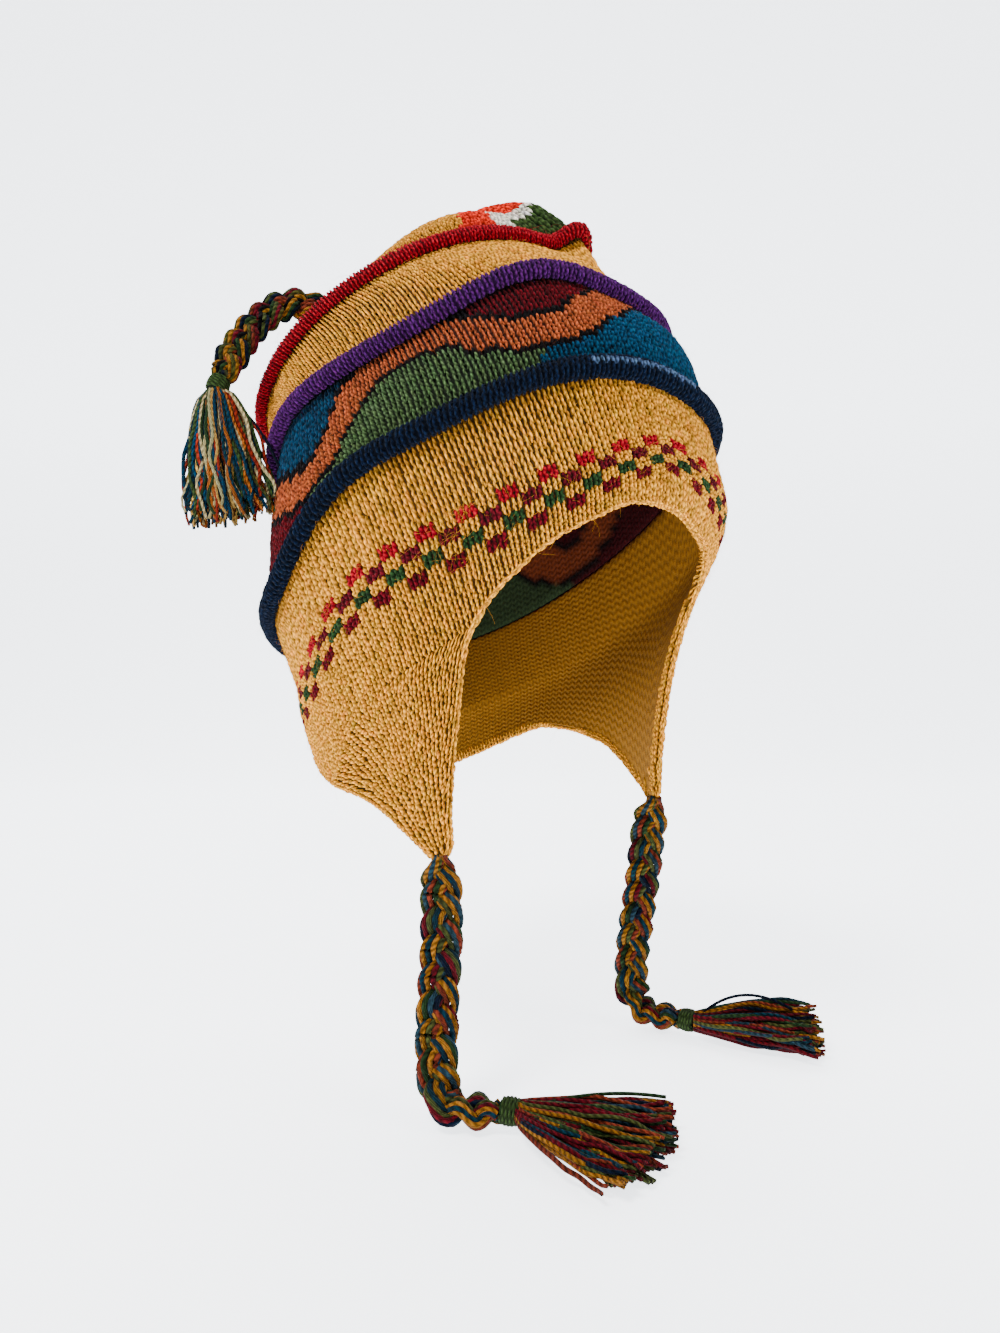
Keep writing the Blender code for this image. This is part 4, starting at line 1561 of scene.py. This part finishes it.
def knit_welt(name, ring, radius, dye, finish, slot, rng, glint=None):
    """Stitches that wrap over a rolled ridge, and the roll below them."""
    wale = np.tile(np.arange(WALES), WELT_STITCH_COURSES)
    course = np.repeat(np.arange(WELT_STITCH_COURSES), WALES)
    dyes = np.full(len(wale), DYE_INDEX[dye])
    # glint: (dye, first angle, last angle, course) of lighter stitches on the front of the roll, a painted
    # highlight
    if glint:
        glint_dye, first, last, row = glint
        angle = turned(wale_angle(wale + 0.5))
        dyes[(angle > first) & (angle < last) & (course == row)] = DYE_INDEX[glint_dye]

    def place(which, across, up, height):
        share = (course[which] + up) / WELT_STITCH_COURSES
        turn = wale_angle(wale[which] + 0.5 + across)
        middle, normal, upward = welt_line(ring, turn)
        swing = (math.radians(WELT_STITCH_SWING) * (share - 0.5))[:, None]
        facing = np.cos(swing) * normal + np.sin(swing) * upward
        lift = (height + YARN_SINK) / (YARN_SINK + YARN_STAND)
        rise = WELT_STITCH_LOW + lift * (WELT_STITCH_HIGH - WELT_STITCH_LOW)
        return middle + facing * (radius + rise)[:, None]

    lay_stitches(name, place, dyes, finish, slot, f"{ring}_welt", rng)
    angle = np.linspace(-180, 180, WALES, endpoint=False)
    middle, normal, upward = welt_line(ring, angle)
    swing = np.linspace(0, 2 * math.pi, ROLL_SIDES, endpoint=False)
    ways = np.cos(swing)[:, None, None] * normal[None] + np.sin(swing)[:, None, None] * upward[None]
    points = middle[None] + ways * (radius - WELT_ROLL_SINK)
    faces = [strip(row * WALES, (row + 1) % ROLL_SIDES * WALES, WALES) for row in range(ROLL_SIDES)]
    core = finish_mesh(f"{ring}_welt_roll", points.reshape(-1, 3), faces, [finish])
    # Painted shade: the roll shows only between the welt's stitches, so its dye is darkened
    colour_mesh(core, np.tile(DYE_COLOURS[DYE_INDEX[dye]] * GAP_PAINTED_SHADE, (len(core.data.vertices), 1)))
    strand_map(core, np.zeros((len(core.data.vertices), 2)))
    dress(core, slot, f"{ring}_welt")


def line_band(name, surface, step, first, last, rows, finish, slot, node, chart, closed_end=False):
    """The inner fabric of a band: its wall, a little below the face of the stitches."""
    angle = np.tile(np.linspace(-180, 180, WALES, endpoint=False), (rows, 1))
    place = np.repeat(np.linspace(first, last, rows), WALES).reshape(rows, WALES)
    point, normal, _, _ = face_of(surface, angle, place, step)
    outer = point - normal * (YARN_SINK - 0.0001)
    inner = point - normal * WALL
    share = (place - first) / (last - first)
    dyes = chart(angle.ravel(), share.ravel()).reshape(rows, WALES)
    return wall_between(name, outer, inner, finish, slot, node, dyes, closed_end)


def line_lower_band(finish):
    """The inner fabric of the lower band and its flaps, kept inside the rolled edge."""
    columns, rows = 228, 36
    start = np.linspace(-180, 180, columns, endpoint=False)
    side = np.where(start < 0, -1, 1)
    turns = np.empty(columns)
    depths = np.empty(columns)
    for way in (-1, 1):
        here = side == way
        turns[here], depths[here] = edge_of(np.abs(start[here]), way)
    share = np.linspace(0.002, 1, rows)[:, None]
    down = share * depths[None]
    bend = smooth_step((down - 0.36 * BAND_DEPTH) / (depths[None] - 0.36 * BAND_DEPTH))
    turn = (FACE_TURN + start)[None] + (turns - FACE_TURN - start)[None] * bend
    turn, down = turn.ravel(), down.ravel()
    inside, inward, flat = inside_edge(turn, down)
    flat = flat + inward * np.maximum(0.0011 - inside, 0)[:, None]
    turn = np.interp(flat[:, 0], RUN_METRES, RUN_ANGLES)
    point, normal, _, _ = face_of(lower_surface, turn, flat[:, 1], -0.0005)
    outer = (point - normal * (YARN_SINK - 0.0001)).reshape(rows, columns, 3)
    inner = (point - normal * WALL).reshape(rows, columns, 3)
    dyes = np.full((rows, columns), DYE_INDEX["gold"])
    return wall_between("lower_band_inside", outer, inner, finish, "gold_wool", "lower_band", dyes)


def hairs_over(name, count, point, normal, round_it, down_it, dyes, finish, slot, node, rng):
    """Fine hairs that stand loose over a face of the wool."""
    share = np.linspace(0, 1, 4)
    swing = rng.uniform(0, 2 * math.pi, (count, 1))
    lie = np.cos(swing) * round_it + np.sin(swing) * down_it
    curl = -np.sin(swing) * round_it + np.cos(swing) * down_it
    length = rng.gamma(3.0, HAIR_LENGTH / 3, (count, 1))
    stand = rng.gamma(2.0, HAIR_STAND / 2, (count, 1))
    bend = rng.normal(0, 0.35, (count, 1))
    routes = (
        point[:, None]
        + lie[:, None] * (length * share)[..., None]
        + normal[:, None] * (stand * np.sin(share * 2.2))[..., None]
        + curl[:, None] * (bend * length * share**2)[..., None]
    )
    radii = np.tile(HAIR_RADIUS * (1 - 0.5 * share), (count, 1))
    points, faces, across, along, per = tubes(routes, radii, 4)
    thing = finish_mesh(name, points, faces, [finish])
    colours = shade_of(DYE_COLOURS[dyes] * HAIR_PALENESS, rng, 0.2)
    colour_mesh(thing, np.repeat(colours, per, axis=0))
    strand_map(thing, np.stack([across, along / COURSE], axis=1))
    return dress(thing, slot, node)


def add_hairs(finish, rng):
    """The hairy surface of every band and welt."""
    count = 1500
    turn = rng.uniform(-180, 180, count)
    down = band_rim(turn) * rng.uniform(0.06, 1.0, count)
    point, normal, round_it, down_it = face_of(lower_surface, turn, down, -0.0005)
    dyes = plain_gold(turn, down)
    hairs_over("lower_band_hairs", count, point, normal, round_it, down_it, dyes, finish,
               "gold_wool", "lower_band", rng)
    for name, side in (("right", -1), ("left", 1)):
        count = 380
        start = rng.uniform(FLAP_FRONT_START - 4, FLAP_BACK_START, count)
        turns, depths = edge_of(start, side)
        share = rng.uniform(0, 1, count) ** 0.7
        down = np.maximum(depths * share, 0.03)
        point, normal, round_it, down_it = face_of(lower_surface, turns, down, -0.0005)
        hairs_over(f"{name}_flap_hairs", count, point, normal, round_it, down_it,
                   plain_gold(turns, down), finish, "gold_wool", "lower_band", rng)
    for name, low, high, chart, slot, count in (
        ("wave_band", "navy", "purple", wave_chart, "orange_wool", 650),
        ("upper_band", "purple", "red", plain_gold, "gold_wool", 420),
    ):
        turn = rng.uniform(-180, 180, count)
        share = rng.uniform(0.12, 0.9, count)
        low, high = RING_INDEX[low], RING_INDEX[high]
        place = low + (high - low) * share
        point, normal, round_it, down_it = face_of(upper_surface, turn, place, 0.02)
        dyes = chart(turn, share * WAVE_COURSES)
        hairs_over(f"{name}_hairs", count, point, normal, round_it, down_it, dyes, finish,
                   slot, name, rng)
    for ring, radius, dye, slot in (
        ("navy", NAVY_WELT_RADIUS, "navy", "navy_wool"),
        ("purple", PURPLE_WELT_RADIUS, "purple", "purple_wool"),
        ("red", RED_WELT_RADIUS, "welt_red", "red_wool"),
    ):
        count = 320
        turn = rng.uniform(-180, 180, count)
        swing = rng.uniform(-1.4, 1.4, (count, 1))
        middle, normal, upward = welt_line(ring, turn)
        facing = np.cos(swing) * normal + np.sin(swing) * upward
        round_it = unit(np.cross(upward, normal))
        hairs_over(f"{ring}_welt_hairs", count, middle + facing * (radius - 0.0003), facing,
                   round_it, np.cross(facing, round_it), np.full(count, DYE_INDEX[dye]), finish,
                   slot, f"{ring}_welt", rng)


def main():
    add_camera()
    add_studio()
    rng = np.random.default_rng(7)
    finishes = [
        wool(f"{part}_wool", twist=1.0, gloom=0.10, lift=1.30, bump=0.9, grain=1500.0, ply_share=0.65)
        for part in ("braid", "wrap", "tassel")
    ]
    near = (-0.65, -0.65, 0.4)
    tie(
        "crown", CROWN_BRAID_ROUTE, CROWN_BRAID_RADIUS, CROWN_TASSEL_WAY, (-15, 16), 0.9,
        near, CROWN_PLAITS, finishes, rng, None, (("navy", (0.012, 0.016, 0.0), (0.040, 0.021, 0.0)),),
    )
    tie(
        "right", RIGHT_BRAID_ROUTE, EAR_BRAID_RADIUS, RIGHT_TASSEL_WAY, (-24, 42), 0.0110,
        near, EAR_PLAITS, finishes, rng, -TABLE_DROP,
        (("dark_green", (0.020, -0.010, 0.006), (0.043, -0.014, 0.003)),),
    )
    tie(
        "left", LEFT_BRAID_ROUTE, EAR_BRAID_RADIUS, LEFT_TASSEL_WAY, (-26, 26), 0.0150,
        near, EAR_PLAITS, finishes, rng, -TABLE_DROP,
        (("navy", (0.016, 0.0, 0.018), (0.036, 0.004, 0.007)),),
    )

    gold_wool = wool("gold_wool_stitches")
    wave_wool = wool("wave_wool_stitches")
    navy_wool = wool("navy_wool_stitches", lift=2.0)
    purple_wool = wool("purple_wool_stitches", lift=1.9)
    red_wool = wool("red_wool_stitches", lift=1.7)
    inside_wool = purl_wool("inside_wool")

    knit_band(gold_wool, rng)
    for side in (-1, 1):
        knit_flap(side, gold_wool, rng)
    bind_edge(gold_wool, rng)
    line_lower_band(inside_wool)
    navy, purple, red = (RING_INDEX[name] for name in ("navy", "purple", "red"))
    knit_round(
        "wave_band_stitches", upper_surface, 0.02, navy + BAND_INSET, purple - BAND_INSET,
        WAVE_COURSES, 4.0, wave_chart, wave_wool, "orange_wool", "wave_band", rng,
    )
    line_band(
        "wave_band_inside", upper_surface, 0.02, navy + BAND_INSET, purple - BAND_INSET, 14,
        inside_wool, "orange_wool", "wave_band",
        lambda angle, share: wave_chart(angle, share * WAVE_COURSES - 0.5),
    )
    knit_round(
        "upper_band_stitches", upper_surface, 0.02, purple + BAND_INSET, red - BAND_INSET,
        UPPER_COURSES, 3.0, plain_gold,
        gold_wool, "gold_wool", "upper_band", rng,
    )
    line_band(
        "upper_band_inside", upper_surface, 0.02, purple + BAND_INSET, red - BAND_INSET, 12,
        inside_wool, "gold_wool", "upper_band", plain_gold,
    )
    knit_top(gold_wool, rng)
    line_band(
        "crown_top_inside", top_surface, 0.004, 0.012, 0.985, 24,
        inside_wool, "gold_wool", "crown_top", top_chart, closed_end=True,
    )
    knit_welt("navy_welt_stitches", "navy", NAVY_WELT_RADIUS, "navy", navy_wool, "navy_wool", rng,
              ("painted_highlight_slate", -24, 6, 3))
    knit_welt("purple_welt_stitches", "purple", PURPLE_WELT_RADIUS, "purple", purple_wool,
              "purple_wool", rng)
    knit_welt("red_welt_stitches", "red", RED_WELT_RADIUS, "welt_red", red_wool, "red_wool", rng)

    add_hairs(wool("loose_hair", twist=1.0, bump=0.1), rng)


main()
